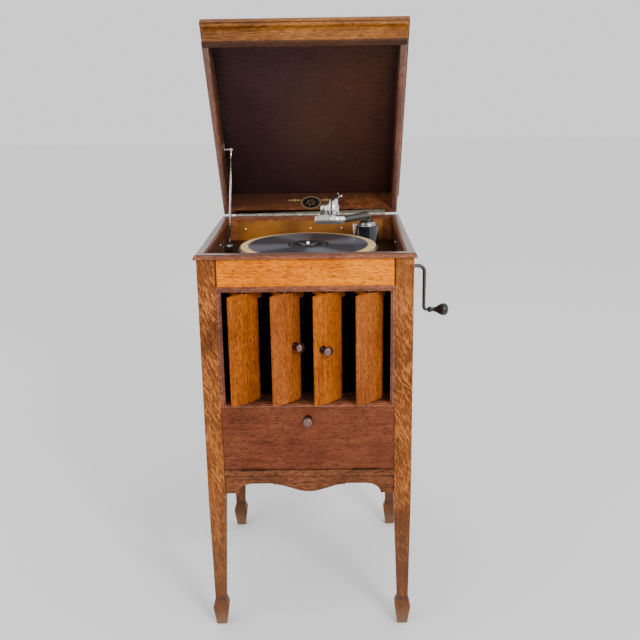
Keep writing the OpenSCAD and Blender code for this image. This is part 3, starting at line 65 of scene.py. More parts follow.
FLOOR_HALF = 12
floor_mesh = bpy.data.meshes.new("floor")
floor_mesh.from_pydata([(FLOOR_HALF * x, FLOOR_HALF * y, 0)
                        for x, y in ((-1, -1), (1, -1), (1, 1), (-1, 1))], [], [(0, 1, 2, 3)])
floor = bpy.data.objects.new("floor", floor_mesh)
bpy.context.scene.collection.objects.link(floor)
pale = bpy.data.materials.new("pale floor")
pale.use_nodes = True
floor_shader = pale.node_tree.nodes["Principled BSDF"]
floor_shader.inputs["Base Color"].default_value = (0.93, 0.93, 0.93, 1)
floor_shader.inputs["Roughness"].default_value = 0.7
floor_mesh.materials.append(pale)

world = bpy.data.worlds.new("studio")
world.use_nodes = True
sky = world.node_tree.nodes["Background"]
sky.inputs["Color"].default_value = (1.0, 1.0, 1.02, 1)
sky.inputs["Strength"].default_value = 1.15
bpy.context.scene.world = world


def softbox(name, place, target, size, watts, colour=(1, 1, 1)):
    """A square area light at place, turned to target."""
    lamp = bpy.data.lights.new(name, "AREA")
    lamp.size, lamp.energy, lamp.color = size, watts, colour
    lamp_object = bpy.data.objects.new(name, lamp)
    turn = (Vector(target) - Vector(place)).to_track_quat("-Z", "Y")
    lamp_object.matrix_world = Matrix.Translation(place) @ turn.to_matrix().to_4x4()
    bpy.context.scene.collection.objects.link(lamp_object)


softbox("key", (1.5, -2.6, 2.3), (0, 0, 0.7), 0.8, 60, (1, 0.97, 0.92))
softbox("fill", (-2.4, -1.8, 1.5), (0, 0, 0.6), 1.8, 18, (0.94, 0.97, 1))

# Posts and legs
# Four square oak posts, quarter-sawn, run down into tapered legs with spade
# feet. They are varnished golden brown and grow darker towards the feet, with
# painted shade and dirt in the crease of each ankle; the feet are worn and dusty.


class Wire:
    """A socket of a material's tree. Arithmetic on wires adds Math nodes."""

    def __init__(self, tree, socket=None):
        self.tree, self.socket = tree, socket

    def add(self, kind, sockets=None, out=0, **settings):
        """A new node: its settings first, then values or wires on its sockets."""
        node = self.tree.nodes.new(kind)
        stops = settings.pop("stops", None)
        for key, value in settings.items():
            setattr(node, key, value)
        if stops:
            ramp = node.color_ramp
            while len(ramp.elements) < len(stops):
                ramp.elements.new(1)
            for element, (place, colour) in zip(ramp.elements, stops):
                element.position = place
                element.color = (*colour, 1) if hasattr(colour, "__len__") else (colour,) * 3 + (1,)
        for key, value in (sockets or {}).items():
            if isinstance(value, Wire):
                self.tree.links.new(value.socket, node.inputs[key])
            else:
                node.inputs[key].default_value = value
        return Wire(self.tree, node.outputs[out])

    def maths(self, operation, a, b=0.0):
        return self.add("ShaderNodeMath", {0: a, 1: b}, operation=operation)

    def __add__(self, other):
        return self.maths("ADD", self, other)

    def __sub__(self, other):
        return self.maths("SUBTRACT", self, other)

    def __rsub__(self, other):
        return self.maths("SUBTRACT", other, self)

    def __mul__(self, other):
        return self.maths("MULTIPLY", self, other)

    def __abs__(self):
        return self.maths("ABSOLUTE", self)

    __radd__, __rmul__ = __add__, __mul__

    def between(self, low, high):
        """0 below low, 1 above high, smooth between them."""
        return self.add("ShaderNodeMapRange", {"Value": self, "From Min": low, "From Max": high},
                        interpolation_type="SMOOTHSTEP", clamp=True)

    def near(self, middle, half, soft):
        """1 where the value lies within half of middle, 0 outside, soft at the edges."""
        return 1 - abs(self - middle).between(half - soft, half + soft)

    def scaled(self, x, y, z):
        return self.add("ShaderNodeVectorMath", {0: self, 1: (x, y, z)}, operation="MULTIPLY")

    def less(self, point):
        return self.add("ShaderNodeVectorMath", {0: self, 1: point}, operation="SUBTRACT")

    def dot(self, direction):
        return self.add("ShaderNodeVectorMath", {0: self, 1: direction}, operation="DOT_PRODUCT",
                        out=1)

    def length(self):
        return self.add("ShaderNodeVectorMath", {0: self}, operation="LENGTH", out=1)

    def sine(self):
        return self.maths("SINE", self)

    def angle(self, other):
        """The angle in radians of a point that lies self up and other across."""
        return self.maths("ARCTAN2", self, other)

    def noise(self, scale, detail=2.0, rough=0.5, out=0):
        return self.add("ShaderNodeTexNoise", {"Vector": self, "Scale": scale, "Detail": detail,
                                               "Roughness": rough}, out=out)

    def mix(self, amount, one, other):
        """The colour one, with other mixed in by amount."""
        one, other = (c if isinstance(c, Wire) else (*c[:3], 1) for c in (one, other))
        return self.add("ShaderNodeMix", {0: amount, 6: one, 7: other}, out=2, data_type="RGBA")


def finish(name, colour, roughness, metallic=0.0, bump=None, coat=0.0, specular=0.5):
    """A material whose colour, roughness, metallic and coat are values or functions.

    A function takes the place on the piece and gives a wire. bump is one that gives a
    height and how deep it is in metres.
    """
    material = bpy.data.materials.new(name)
    material.use_nodes = True
    tree = material.node_tree
    shader = tree.nodes["Principled BSDF"]
    start = Wire(tree)
    place = start.add("ShaderNodeTexCoord", out=3)
    shader.inputs["Coat Roughness"].default_value = 0.2
    shader.inputs["Specular IOR Level"].default_value = specular
    for key, value in (("Base Color", colour), ("Roughness", roughness), ("Metallic", metallic),
                       ("Coat Weight", coat)):
        value = value(place) if callable(value) else value
        if isinstance(value, Wire):
            tree.links.new(value.socket, shader.inputs[key])
        else:
            shader.inputs[key].default_value = (*value, 1) if key == "Base Color" else value
    if bump:
        height, distance = bump(place)
        surface = start.add("ShaderNodeBump", {"Height": height, "Strength": 1.0,
                                               "Distance": distance})
        tree.links.new(surface.socket, shader.inputs["Normal"])
    return material


UP, ACROSS, BACK = (0, 0, 1), (1, 0, 0), (0, 1, 0)
ALONG_Z, ALONG_X = (0, math.pi / 2, 0), (0, 0, 0)
LOWER_LEG_TONE, CREASE_SHADE_AND_DIRT, SOLE_DUST = (0.088, 0.040, 0.023), (0.045, 0.025, 0.020), (0.26, 0.16, 0.10)
LOWER_LEG_FROM, LOWER_LEG_TO, CREASE_Z, SOLE_DUST_TO = 0.40, 0.08, 0.060, 0.05


def oak(name, turn, dark, mid, light, rays=0.5, tilt=-65, ray_size=(0.022, 0.0042),
        contrast=1.0, fleck=0.75, shine=0.4, seed=0.0, dust_and_shade=0.0, specular=0.10, coat=0.0,
        painted=None):
    """Oak whose grain runs as turn says, from three tones.

    The medullary rays are streaks of ray_size metres that rise at tilt degrees across
    the board, as strong as rays, and fleck is how strongly the fine lines show.
    dust_and_shade darkens the leg towards its foot, puts painted shade and dirt in the
    crease of its ankle and makes its sole dusty. painted adds shades by place.
    """
    bright = tuple(min(1, c * 1.25) for c in light)
    deep = tuple(c * 0.45 for c in dark)
    slope = math.radians(tilt)

    def grain(place):
        board = place.add("ShaderNodeMapping", {"Vector": place, "Rotation": turn,
                                                "Location": (seed, seed * 0.7, seed)})
        sway = board.scaled(3, 9, 9).noise(1.0, 2.0, out=1).less((0.5, 0.5, 0.5))
        return board.add("ShaderNodeVectorMath", {0: board, 1: sway.scaled(0.02, 0.012, 0.012)},
                         operation="ADD")

    def open_pores(board):
        return board.scaled(110, 620, 620).noise(1.0, 1.0, 0.6).between(0.54, 0.66)

    def streaks(place):
        c, s = math.cos(slope), math.sin(slope)
        sway = place.noise(16, 2.0) * 0.02
        along = place.dot((c, c, s)) * (1 / ray_size[0])
        across = (place.dot((-s, -s, c)) + sway) * (1 / ray_size[1])
        field = place.add("ShaderNodeCombineXYZ", {0: along, 1: across, 2: seed})
        return field.noise(1.0, 1.0, 0.5).between(0.48, 0.6)

    def colour(place):
        board = grain(place)
        bands = board.scaled(8, 150, 150).noise(1.0, 3.0, 0.62)
        lines = board.scaled(70, 480, 480).noise(1.0, 2.0, 0.6)
        cloud = place.noise(7, 2.0)
        tone = (bands - 0.5) * 0.5 + (lines - 0.5) * fleck + (cloud - 0.5) * 0.5
        wood = tone.add("ShaderNodeValToRGB", {"Fac": tone * contrast + 0.5},
                        stops=((0.3, dark), (0.5, mid), (0.72, light)))
        patch = place.noise(14, 1.0).between(0.32, 0.6)
        wood = wood.mix(streaks(place) * patch * rays, wood, bright)
        wood = wood.mix(open_pores(board) * 0.65, wood, deep)
        if dust_and_shade:
            height = place.dot(UP)
            # The leg grows darker towards its foot, in clouds.
            low = 1 - height.between(LOWER_LEG_TO, LOWER_LEG_FROM)
            cloudy = 0.55 + place.noise(40, 3.0) * 0.7
            wood = wood.mix(low * dust_and_shade * cloudy, wood, LOWER_LEG_TONE)
            # Painted shade and dirt in the crease of the ankle.
            wood = wood.mix(height.near(CREASE_Z, 0.006, 0.005) * 0.6, wood, CREASE_SHADE_AND_DIRT)
            wood = wood.mix((1 - height.between(0.0, SOLE_DUST_TO)) * 0.5, wood, SOLE_DUST)
        return painted(place, wood) if painted else wood

    def rough(place):
        return shine + place.noise(30, 3.0) * 0.16

    def relief(place):
        board = grain(place)
        ridges = board.scaled(8, 150, 150).noise(1.0, 3.0, 0.6) * 0.25
        return ridges - open_pores(board), 0.00012

    return finish(name, colour, rough, bump=relief, specular=specular, coat=coat)


def corners(node):
    """The points of a CAD piece's mesh."""
    return [v.co for v in frame["nodes"][node].data.vertices]


def dress(names, material, body, edge=0.0, name=None, smooth=35):
    """A merged copy of CAD pieces, which stands for them on their body.

    edge is how far its edges are eased, in metres, and smooth the largest angle in
    degrees between two faces that still shade as one curve.
    """
    names = [names] if isinstance(names, str) else list(names)
    shell = bmesh.new()
    for part in names:
        shell.from_mesh(frame["nodes"][part].data)
    bmesh.ops.remove_doubles(shell, verts=shell.verts, dist=2e-6)
    if edge:
        bmesh.ops.dissolve_limit(shell, angle_limit=math.radians(0.6), verts=shell.verts,
                                 edges=shell.edges)
    for face in shell.faces:
        face.smooth = True
    piece = piece_from(shell, (name or names[0]) + "_dressed", material)
    if edge:
        ease = piece.modifiers.new("eased edges", "BEVEL")
        ease.width, ease.segments, ease.limit_method = edge, 2, "ANGLE"
        ease.angle_limit, ease.harden_normals = math.radians(30), False
        ease.use_clamp_overlap = True
        bake_modifiers(piece)
    piece.data.set_sharp_from_angle(angle=math.radians(smooth))
    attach(piece, body)
    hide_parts(*names)


def piece_from(shell, name, material):
    """An object in the scene from a bmesh, which it frees."""
    mesh = bpy.data.meshes.new(name)
    shell.to_mesh(mesh)
    shell.free()
    mesh.materials.clear()
    mesh.materials.append(material)
    piece = bpy.data.objects.new(name, mesh)
    bpy.context.scene.collection.objects.link(piece)
    return piece


def bake_modifiers(piece):
    """Turns a piece's modifiers into its plain mesh."""
    graph = bpy.context.evaluated_depsgraph_get()
    result = bpy.data.meshes.new_from_object(piece.evaluated_get(graph))
    piece.modifiers.clear()
    piece.data = result


post_oak = oak("post oak", ALONG_Z, (0.070, 0.019, 0.005), (0.185, 0.052, 0.010),
               (0.36, 0.120, 0.026), rays=1.0, ray_size=(0.017, 0.0027), fleck=0.35, seed=0.3,
               dust_and_shade=0.8)
for leg in ("leg_front_left", "leg_front_right", "leg_rear_left", "leg_rear_right"):
    dress(leg, post_oak, "cabinet", edge=0.0011)

# Front rail
# A golden oak board over the shutters, tenoned into the posts, with its grain
# along it, fine mottled rays and painted shade in the grooves of its end joints.
RAIL_END = max(p.x for p in corners("front_rail"))
JOINT_FROM, JOINT_TO = RAIL_END - 0.0032, RAIL_END - 0.0022


def rail_joint_shade(place, wood):
    """Painted shade in the grooves of the joints at the rail's two ends."""
    end = abs(place.dot(ACROSS)).between(JOINT_FROM, JOINT_TO)
    return wood.mix(end * 0.9, wood, (0.03, 0.008, 0.004))


rail_oak = oak("rail oak", ALONG_X, (0.42, 0.088, 0.0), (0.80, 0.190, 0.0), (0.98, 0.30, 0.004),
               rays=0.5, tilt=14, ray_size=(0.006, 0.002), contrast=0.9, shine=0.4, seed=1.1,
               specular=0.03, painted=rail_joint_shade)
dress("front_rail", rail_oak, "cabinet", edge=0.0006)

# Side and back panels
# Thinner oak panels that stand behind the posts. Their inner faces line the
# well, where the rear one is golden and the side ones carry painted shade.
WELL_BACK = min(p.y for p in corners("back_panel"))
WELL_SIDE = min(abs(p.x) for p in corners("side_panel_left"))
SKIN_NEAR, SKIN_FAR = 0.001, 0.002


def well_lining(place, wood):
    """Gold on the back panel's inner face, and only there."""
    cloud = place.noise(11, 3.0)
    gold = place.mix(cloud.between(0.3, 0.7), (0.12, 0.040, 0.008), (0.42, 0.155, 0.022))
    inner = 1 - place.dot(BACK).between(WELL_BACK + SKIN_NEAR, WELL_BACK + SKIN_FAR)
    return wood.mix(inner * 0.85, wood, gold)


def painted_well_shade(place, wood):
    """Painted shade on the side panels' inner faces, and only there."""
    inner = 1 - abs(place.dot(ACROSS)).between(WELL_SIDE + SKIN_NEAR, WELL_SIDE + SKIN_FAR)
    return wood.mix(inner * 0.8, wood, (0.05, 0.022, 0.014))


panel_tones = (0.065, 0.021, 0.008), (0.165, 0.052, 0.016), (0.29, 0.105, 0.033)
back_oak = oak("back panel oak", ALONG_X, *panel_tones, rays=0.35, tilt=14, seed=2.9,
               painted=well_lining)
dress("back_panel", back_oak, "cabinet", edge=0.0006)
side_panel_oak = oak("side panel oak", ALONG_Z, *panel_tones, rays=0.8, seed=2.3,
                     painted=painted_well_shade)
for panel in ("side_panel_left", "side_panel_right"):
    dress(panel, side_panel_oak, "cabinet", edge=0.0006)

# Inner boards
# The deck that carries the turntable and the tonearm, the board between horn
# and record compartment, and the bottom board, plainly stained and dull.
inner_oak = oak("inner oak", ALONG_X, (0.030, 0.012, 0.007), (0.070, 0.028, 0.013),
                (0.12, 0.052, 0.022), rays=0.2, tilt=14, shine=0.5, seed=3.1)
for board in ("shelf_board", "bottom_board", "deck"):
    dress(board, inner_oak, "cabinet", edge=0.0006)

# Rim, shutter frame and apron
# Mouldings stained redder than the posts: the rim round the well, the beaded
# frame round the shutters, and the rail with its shaped apron below the door.
RIM_TOP = max(p.z for p in corners("rim_moulding"))
SHEEN_FROM, SHEEN_TO, GROOVE = RIM_TOP - 0.0006, RIM_TOP - 0.0002, RIM_TOP - 0.0011
APRON_TOP = max(p.z for p in corners("front_apron"))
RAIL_LINE = APRON_TOP - 0.0144


def rim_shades(place, wood):
    """Painted grey sheen on the rim's flat top, painted shade in a groove below it."""
    height = place.dot(UP)
    # Painted reflection of the bright backdrop on the top, patchy; painted shade in the groove.
    top = height.between(SHEEN_FROM, SHEEN_TO) * (0.4 + place.noise(60, 3.0) * 0.5)
    groove = height.near(GROOVE, 0.0005, 0.0002)
    wood = wood.mix(top, wood, (0.17, 0.125, 0.10))
    return wood.mix(groove * 0.8, wood, (0.012, 0.006, 0.005))


red_tones = (0.085, 0.022, 0.010), (0.20, 0.056, 0.023), (0.34, 0.115, 0.05)
rim_oak = oak("rim oak", ALONG_X, *red_tones, rays=0.3, tilt=14, shine=0.3, seed=4.2, coat=0.5,
              painted=rim_shades)
dress("rim_moulding", rim_oak, "cabinet", edge=0.0004)
red_oak = oak("moulding oak", ALONG_X, *red_tones, rays=0.3, tilt=14, shine=0.34, seed=4.6,
              specular=0.3)
dress("shutter_frame", red_oak, "cabinet", edge=0.0007)


def apron_joint(place, wood):
    """A dark line where the plain rail meets the apron, and a darker band just below the door."""
    height = place.dot(UP)
    line = height.near(RAIL_LINE, 0.0009, 0.0004) + height.near(APRON_TOP, 0.0016, 0.0008) * 0.6
    return wood.mix(line * 0.85, wood, (0.015, 0.006, 0.004))


apron_oak = oak("apron oak", ALONG_X, (0.065, 0.020, 0.008), (0.150, 0.047, 0.017),
                (0.25, 0.085, 0.034), rays=0.3, tilt=14, shine=0.34, seed=4.9,
                painted=apron_joint)
dress("front_apron", apron_oak, "cabinet", edge=0.0012)

# Lid boards
# A shallow box of oak: moulded top board, golden front wall, darker side walls
# and a dark polished panel inside. It stands open on a long nickel hinge.
joint_of = {j["name"]: j for j in frame["record"]["behaviour"]["joints"]}
HINGE = Vector(joint_of["lid_hinge"]["pos_m"])
LID_TURN = math.radians(56.5)
lid_up = Vector((0, math.sin(LID_TURN), math.cos(LID_TURN)))
lid_back = Vector((0, math.cos(LID_TURN), -math.sin(LID_TURN)))
lid_depth = (LID_TURN, 0, -math.pi / 2)
lid_width = (LID_TURN, 0, 0)
lid_points = [p - HINGE for p in corners("lid_side_walls")]
LID_HIGH = max(p.dot(lid_up) for p in lid_points)
LID_FRONT = min(p.dot(lid_back) for p in lid_points)
LID_HALF = max(abs(p.x) for p in lid_points)
PANEL_HIGH, PANEL_HIGH_END = LID_HIGH + 0.0006, LID_HIGH + 0.001
PANEL_SIDE, PANEL_SIDE_END = LID_HALF - 0.004, LID_HALF - 0.002
PANEL_FRONT, PANEL_FRONT_END = LID_FRONT - 0.011, LID_FRONT - 0.009
PANEL_SHADE_FROM, PANEL_SHADE_TO, LID_JOINT = LID_HALF - 0.034, LID_HALF - 0.012, LID_HIGH + 0.0004
SHEEN_REACH = 0.16
SHEEN_MIDDLE = Vector((0.01, 0, 0)) + lid_back * -0.2 + lid_up * 0.057


def lid_shades(place, wood):
    """Gold on the moulded edges, dark polish on the panel, painted light and shade on it."""
    local = place.less(HINGE)
    side, height, depth = local.dot(ACROSS), local.dot(lid_up), local.dot(lid_back)
    below = 1 - height.between(PANEL_HIGH, PANEL_HIGH_END)
    within = 1 - abs(side).between(PANEL_SIDE, PANEL_SIDE_END)
    inside = below * within * depth.between(PANEL_FRONT, PANEL_FRONT_END)
    # A soft painted highlight in the middle of the panel.
    far = local.less(SHEEN_MIDDLE).scaled(1, 0.8, 0.8).length()
    sheen = 1 - far.between(0.0, SHEEN_REACH)
    fine = place.scaled(60, 260, 260).noise(1.0, 2.0, 0.7) * 0.7 + place.noise(9, 3.0) * 0.5 - 0.1
    panel = place.mix(side.between(-0.12, 0.14), (0.052, 0.026, 0.026), (0.078, 0.030, 0.020))
    panel = panel.mix(fine.between(0.2, 0.75) * 0.6, panel, (0.020, 0.008, 0.008))
    panel = panel.mix(sheen * 0.35, panel, (0.12, 0.055, 0.04))
    # Painted shadow along the panel's sides, next to the walls.
    panel = panel.mix(abs(side).between(PANEL_SHADE_FROM, PANEL_SHADE_TO) * 0.6, panel, (0.012, 0.007, 0.010))
    joint = height.near(LID_JOINT, 0.0006, 0.0003) * (1 - inside)
    wood = wood.mix(joint * 0.7, wood, (0.03, 0.010, 0.005))
    return wood.mix(inside, wood, panel)


front_tones = (0.105, 0.033, 0.005), (0.245, 0.080, 0.011), (0.40, 0.150, 0.030)
top_oak = oak("lid top oak", lid_width, *front_tones, rays=0.25, tilt=14, shine=0.3, seed=5.5,
              coat=0.25, painted=lid_shades)
dress("lid_top", top_oak, "lid", edge=0.0012)


def front_wisps(place, wood):
    """Dark wisps in the grain, and a darker band along the wall's lower edge."""
    wisp = place.scaled(9, 60, 60).noise(1.0, 3.0, 0.6).between(0.54, 0.72)
    edge = 1 - place.less(HINGE).dot(lid_up).between(0.0012, 0.006)
    wood = wood.mix(wisp * 0.5, wood, (0.09, 0.030, 0.010))
    return wood.mix(edge * 0.85, wood, (0.028, 0.014, 0.013))


front_oak = oak("lid front oak", lid_width, *front_tones, rays=0.3, tilt=14, shine=0.34, seed=6.4,
                painted=front_wisps)
dress("lid_front_wall", front_oak, "lid", edge=0.0007)


def rear_shades(place, wood):
    """Thick dark polish on the rear wall towards its upper left."""
    local = place.less(HINGE)
    high = (local.dot(lid_up) - local.dot(ACROSS) * 0.14).between(0.0, 0.05)
    return wood.mix(high * 0.75, wood, (0.045, 0.018, 0.013))


rear_oak = oak("lid rear oak", lid_width, (0.07, 0.022, 0.009), (0.155, 0.048, 0.018),
               (0.26, 0.090, 0.032), rays=0.4, tilt=14, shine=0.34, seed=7.7, specular=0.2,
               painted=rear_shades)
dress("lid_back_wall", rear_oak, "lid", edge=0.0005)
side_oak = oak("lid side oak", lid_depth, (0.060, 0.018, 0.009), (0.125, 0.040, 0.021),
               (0.21, 0.080, 0.045), rays=0.3, shine=0.3, seed=8.9, coat=0.6, specular=0.4)
dress("lid_side_walls", side_oak, "lid", edge=0.0009)

# Transfer inside the lid
# A thin oval decal on the rear wall, with a gilt border and a small rosette on
# a dark field, and a band of ornament on either side. It carries no words.
TRANSFER_MIDDLE = HINGE + Vector((0.0015, 0, 0)) + lid_back * -0.0155 + lid_up * 0.0245
OVAL_ACROSS, OVAL_UP, OVAL_STEPS = 0.0236, 0.0216, 64
BAND_HEIGHT, BAND_TIP = 0.0085, 0.0545
BAND_EDGE = ((0.0240, 0.0022), (0.0335, 0.0024), (0.0370, 0.0048), (0.0405, 0.0024),
             (0.0500, 0.0020))
DECAL_LIFT, DECAL_THICK = 0.00002, 0.00008
PETALS, FLUTES = 6, 1500


def decal(name, outline, material):
    """A thin flat sheet inside the outline (across, up in the wall's plane)."""
    shell = bmesh.new()
    base = TRANSFER_MIDDLE - lid_back * DECAL_LIFT
    flat = [shell.verts.new(base + Vector((x, 0, 0)) + lid_up * z) for x, z in outline]
    face = shell.faces.new(flat)
    top = bmesh.ops.extrude_face_region(shell, geom=[face])["geom"]
    bmesh.ops.translate(shell, vec=-lid_back * DECAL_THICK,
                        verts=[v for v in top if isinstance(v, bmesh.types.BMVert)])
    bmesh.ops.recalc_face_normals(shell, faces=shell.faces)
    piece = piece_from(shell, name, material)
    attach(piece, "lid")


def oval():
    turns = [2 * math.pi * step / OVAL_STEPS for step in range(OVAL_STEPS)]
    return [(OVAL_ACROSS * math.cos(a), OVAL_UP * math.sin(a)) for a in turns]


def band(sign):
    """A band of ornament with a lozenge at its middle and a pointed end."""
    upper = [(sign * x, BAND_HEIGHT + z) for x, z in BAND_EDGE]
    lower = [(sign * x, BAND_HEIGHT - z) for x, z in reversed(BAND_EDGE)]
    return upper + [(sign * BAND_TIP, BAND_HEIGHT)] + lower


def gilt_ground(place):
    """Gilt border, inner line and rosette, by distance from the decal's middle."""
    local = place.less(TRANSFER_MIDDLE)
    across, up = local.dot(ACROSS) * (1 / OVAL_ACROSS), local.dot(lid_up) * (1 / OVAL_UP)
    radius = place.add("ShaderNodeCombineXYZ", {0: across, 1: up}).length()
    border = radius.near(0.945, 0.045, 0.02) + radius.near(0.80, 0.02, 0.01) * 0.5
    petal = radius.near(0.32, 0.16, 0.05) * (up.angle(across) * PETALS).sine().between(0.1, 0.5)
    return place.mix(border * 0.8 + petal * 0.5, (0.006, 0.005, 0.007), (0.34, 0.25, 0.13))


def gilt_bars(place):
    """Gilt worn through to the wood in fine upright bars."""
    bars = (place.dot(ACROSS) * FLUTES).sine().between(-0.2, 0.5)
    worn = bars * 0.7 + place.noise(500, 2.0).between(0.45, 0.7) * 0.3
    return place.mix(worn, (0.46, 0.31, 0.13), (0.075, 0.032, 0.015))


decal("transfer_oval", oval(), finish("transfer", gilt_ground, 0.35))
gilt = finish("gilt", gilt_bars, 0.4)
decal("transfer_rule_left", band(-1)[::-1], gilt)
decal("transfer_rule_right", band(1), gilt)

# Record door
# The drop front of the record compartment, a plain board of red-brown oak with
# its grain across, on two small brass hinges.
door_oak = oak("door oak", ALONG_X, (0.080, 0.019, 0.008), (0.155, 0.039, 0.0155),
               (0.23, 0.070, 0.030), rays=0.25, tilt=8, contrast=0.9, fleck=0.3, shine=0.42,
               seed=9.3)
dress("door", door_oak, "record_door", edge=0.0009)

# Shutters
# Four upright boards of lens section on steel pins, stained orange-brown, with
# their grain upright. They stand 43 degrees open, and every second one is cooler.
SHUTTERS = ("shutter_1", "shutter_2", "shutter_3", "shutter_4")
SHUTTER_TURN = math.radians(43)
for number, shutter in enumerate(SHUTTERS, 1):
    cool = 0.0 if number % 2 else 0.008
    shutter_oak = oak(f"shutter oak {number}", ALONG_Z, (0.18 - cool, 0.038, 0.002 + cool * 0.6),
                      (0.36 - 5 * cool, 0.086 - cool, 0.003 + cool),
                      (0.50 - 5 * cool, 0.138, 0.012 + cool), rays=0.35, tilt=-72,
                      ray_size=(0.009, 0.0022), shine=0.4, seed=10.0 + number * 3)
    dress(shutter, shutter_oak, shutter, edge=0.0008, smooth=24)

# Dark strips of the shutters
# A thin black strip lies along each shutter's rebate, in front of its tongue.
# It stops below the full corner at the top.
STRIP_ROWS, STRIP_BOTTOM, STRIP_TOP = 40, 0.003, 0.2035
STRIP_INNER, STRIP_OUTER, STRIP_BEHIND, STRIP_FRONT = 0.0350, 0.0458, -0.0032, -0.0027


def clouded(name, low, high, scale, rough, detail=3.0, **gloss):
    """A dark finish that clouds from low to high. gloss is its coat or its specular."""
    return finish(name, lambda place: place.mix(place.noise(scale, detail), low, high), rough,
                  **gloss)


dark_strip_finish = clouded("black strip", (0.0015, 0.002, 0.006), (0.004, 0.005, 0.012), 1500, 1.0,
                     detail=2.0, specular=0.0)


def dark_strip(shutter):
    """A strip in front of the shutter's tongue, with a slightly uneven free edge."""
    foot = min(p.z for p in corners(shutter))
    along = Vector((math.cos(SHUTTER_TURN), math.sin(SHUTTER_TURN), 0))
    out = Vector((math.sin(SHUTTER_TURN), -math.cos(SHUTTER_TURN), 0))
    pin_x, pin_y = joint_of[shutter + "_pivot"]["pos_m"][:2]
    shell = bmesh.new()
    rings = []
    for row in range(STRIP_ROWS + 1):
        height = foot + STRIP_BOTTOM + (STRIP_TOP - STRIP_BOTTOM) * row / STRIP_ROWS
        waver = 0.0002 * math.sin(row * 2.7) + 0.00015 * math.sin(row * 7.1)
        section = ((STRIP_INNER, STRIP_BEHIND), (STRIP_OUTER + waver, STRIP_BEHIND),
                   (STRIP_OUTER + waver, STRIP_FRONT), (STRIP_INNER, STRIP_FRONT))
        middle = Vector((pin_x, pin_y, height))
        rings.append([shell.verts.new(middle + along * u + out * v) for u, v in section])
    for one, two in zip(rings, rings[1:]):
        for k in range(4):
            shell.faces.new((one[k], one[(k + 1) % 4], two[(k + 1) % 4], two[k]))
    shell.faces.new(rings[0])
    shell.faces.new(rings[-1])
    bmesh.ops.recalc_face_normals(shell, faces=shell.faces)
    piece = piece_from(shell, shutter + "_dark_strip", dark_strip_finish)
    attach(piece, shutter)


for shutter in SHUTTERS:
    dark_strip(shutter)

# Horn
# Painted boards behind the shutters, black with a blue cast and darkened with
# painted shade, so that the mouth reads as a deep dark space.
horn_paint_and_shade = clouded("horn paint and shade", (0.0016, 0.002, 0.007), (0.0028, 0.0034, 0.010), 40, 0.8,
                     specular=0.1)
dress(("horn_top", "horn_bottom", "horn_sides"), horn_paint_and_shade, "cabinet", name="horn")
iron = finish("black iron", (0.012, 0.012, 0.014), 0.55, metallic=0.6)
dress("horn_throat", iron, "cabinet")

# Hinges, stay and fittings of the well
# Nickel plate, bright on the hinge and the stay, with a darker guide low in the
# well and round-headed screws on the walls. The door has small brass hinges.


def plated(name, colour, rough, spots):
    """Plate with cloudy wear: rough is its polish, spots how much it is tarnished."""
    tarnish = tuple(c * 0.45 for c in colour)

    def tone(place):
        wear = place.noise(90, 4.0, 0.6).between(0.45, 0.75)
        return place.mix(wear * spots, colour, tarnish)

    def polish(place):
        return rough + place.noise(120, 3.0).between(0.4, 0.8) * 0.15

    return finish(name, tone, polish, metallic=1.0)


nickel = plated("bright nickel", (0.90, 0.89, 0.86), 0.2, 0.2)
satin = plated("satin nickel", (0.52, 0.48, 0.40), 0.42, 0.6)
dull = plated("dull nickel", (0.40, 0.385, 0.36), 0.3, 0.5)
oxidised = plated("oxidised nickel", (0.17, 0.158, 0.148), 0.5, 0.4)
steel = plated("steel", (0.34, 0.33, 0.33), 0.3, 0.5)
brass = plated("tarnished brass", (0.30, 0.20, 0.08), 0.4, 0.6)
aged_brass = plated("blackened brass", (0.045, 0.026, 0.014), 0.5, 0.5)
for fitting, metal, body in (("lid_hinge_leaf", satin, "lid"),
                             ("case_hinge_leaf", satin, "cabinet"),
                             ("stay_bracket", nickel, "lid"),
                             ("stay_rod", nickel, "stay_rod"),
                             ("stay_guide", steel, "stay_guide"),
                             ("well_fittings", nickel, "cabinet"),
                             ("brake_lever", steel, "brake"),
                             ("shutter_link", steel, "shutter_link"),
                             ("shutter_pins", steel, "cabinet"),
                             ("door_hinges", aged_brass, "record_door"),
                             ("rail_hinges", aged_brass, "cabinet"),
                             ("motor_frame", iron, "cabinet")):
    dress(fitting, metal, body)

# Screws of the long hinge
# Flat countersunk screws at even spaces hold each leaf. Their heads lie almost
# flush in the plate, each with its slot turned a little differently.
SCREWS, SCREW_PITCH, SCREW_RADIUS, SLOT_SEED = 13, 0.0262, 0.0017, 7
SLOT_SIZE = (SCREW_RADIUS * 2.2, SCREW_RADIUS * 0.24, SCREW_RADIUS * 0.2)
SLOT_HIGH, HEAD_FLAT = SCREW_RADIUS * 0.16, 0.14
SCREW_INSET, SCREW_SINK = 0.0045, 0.00008


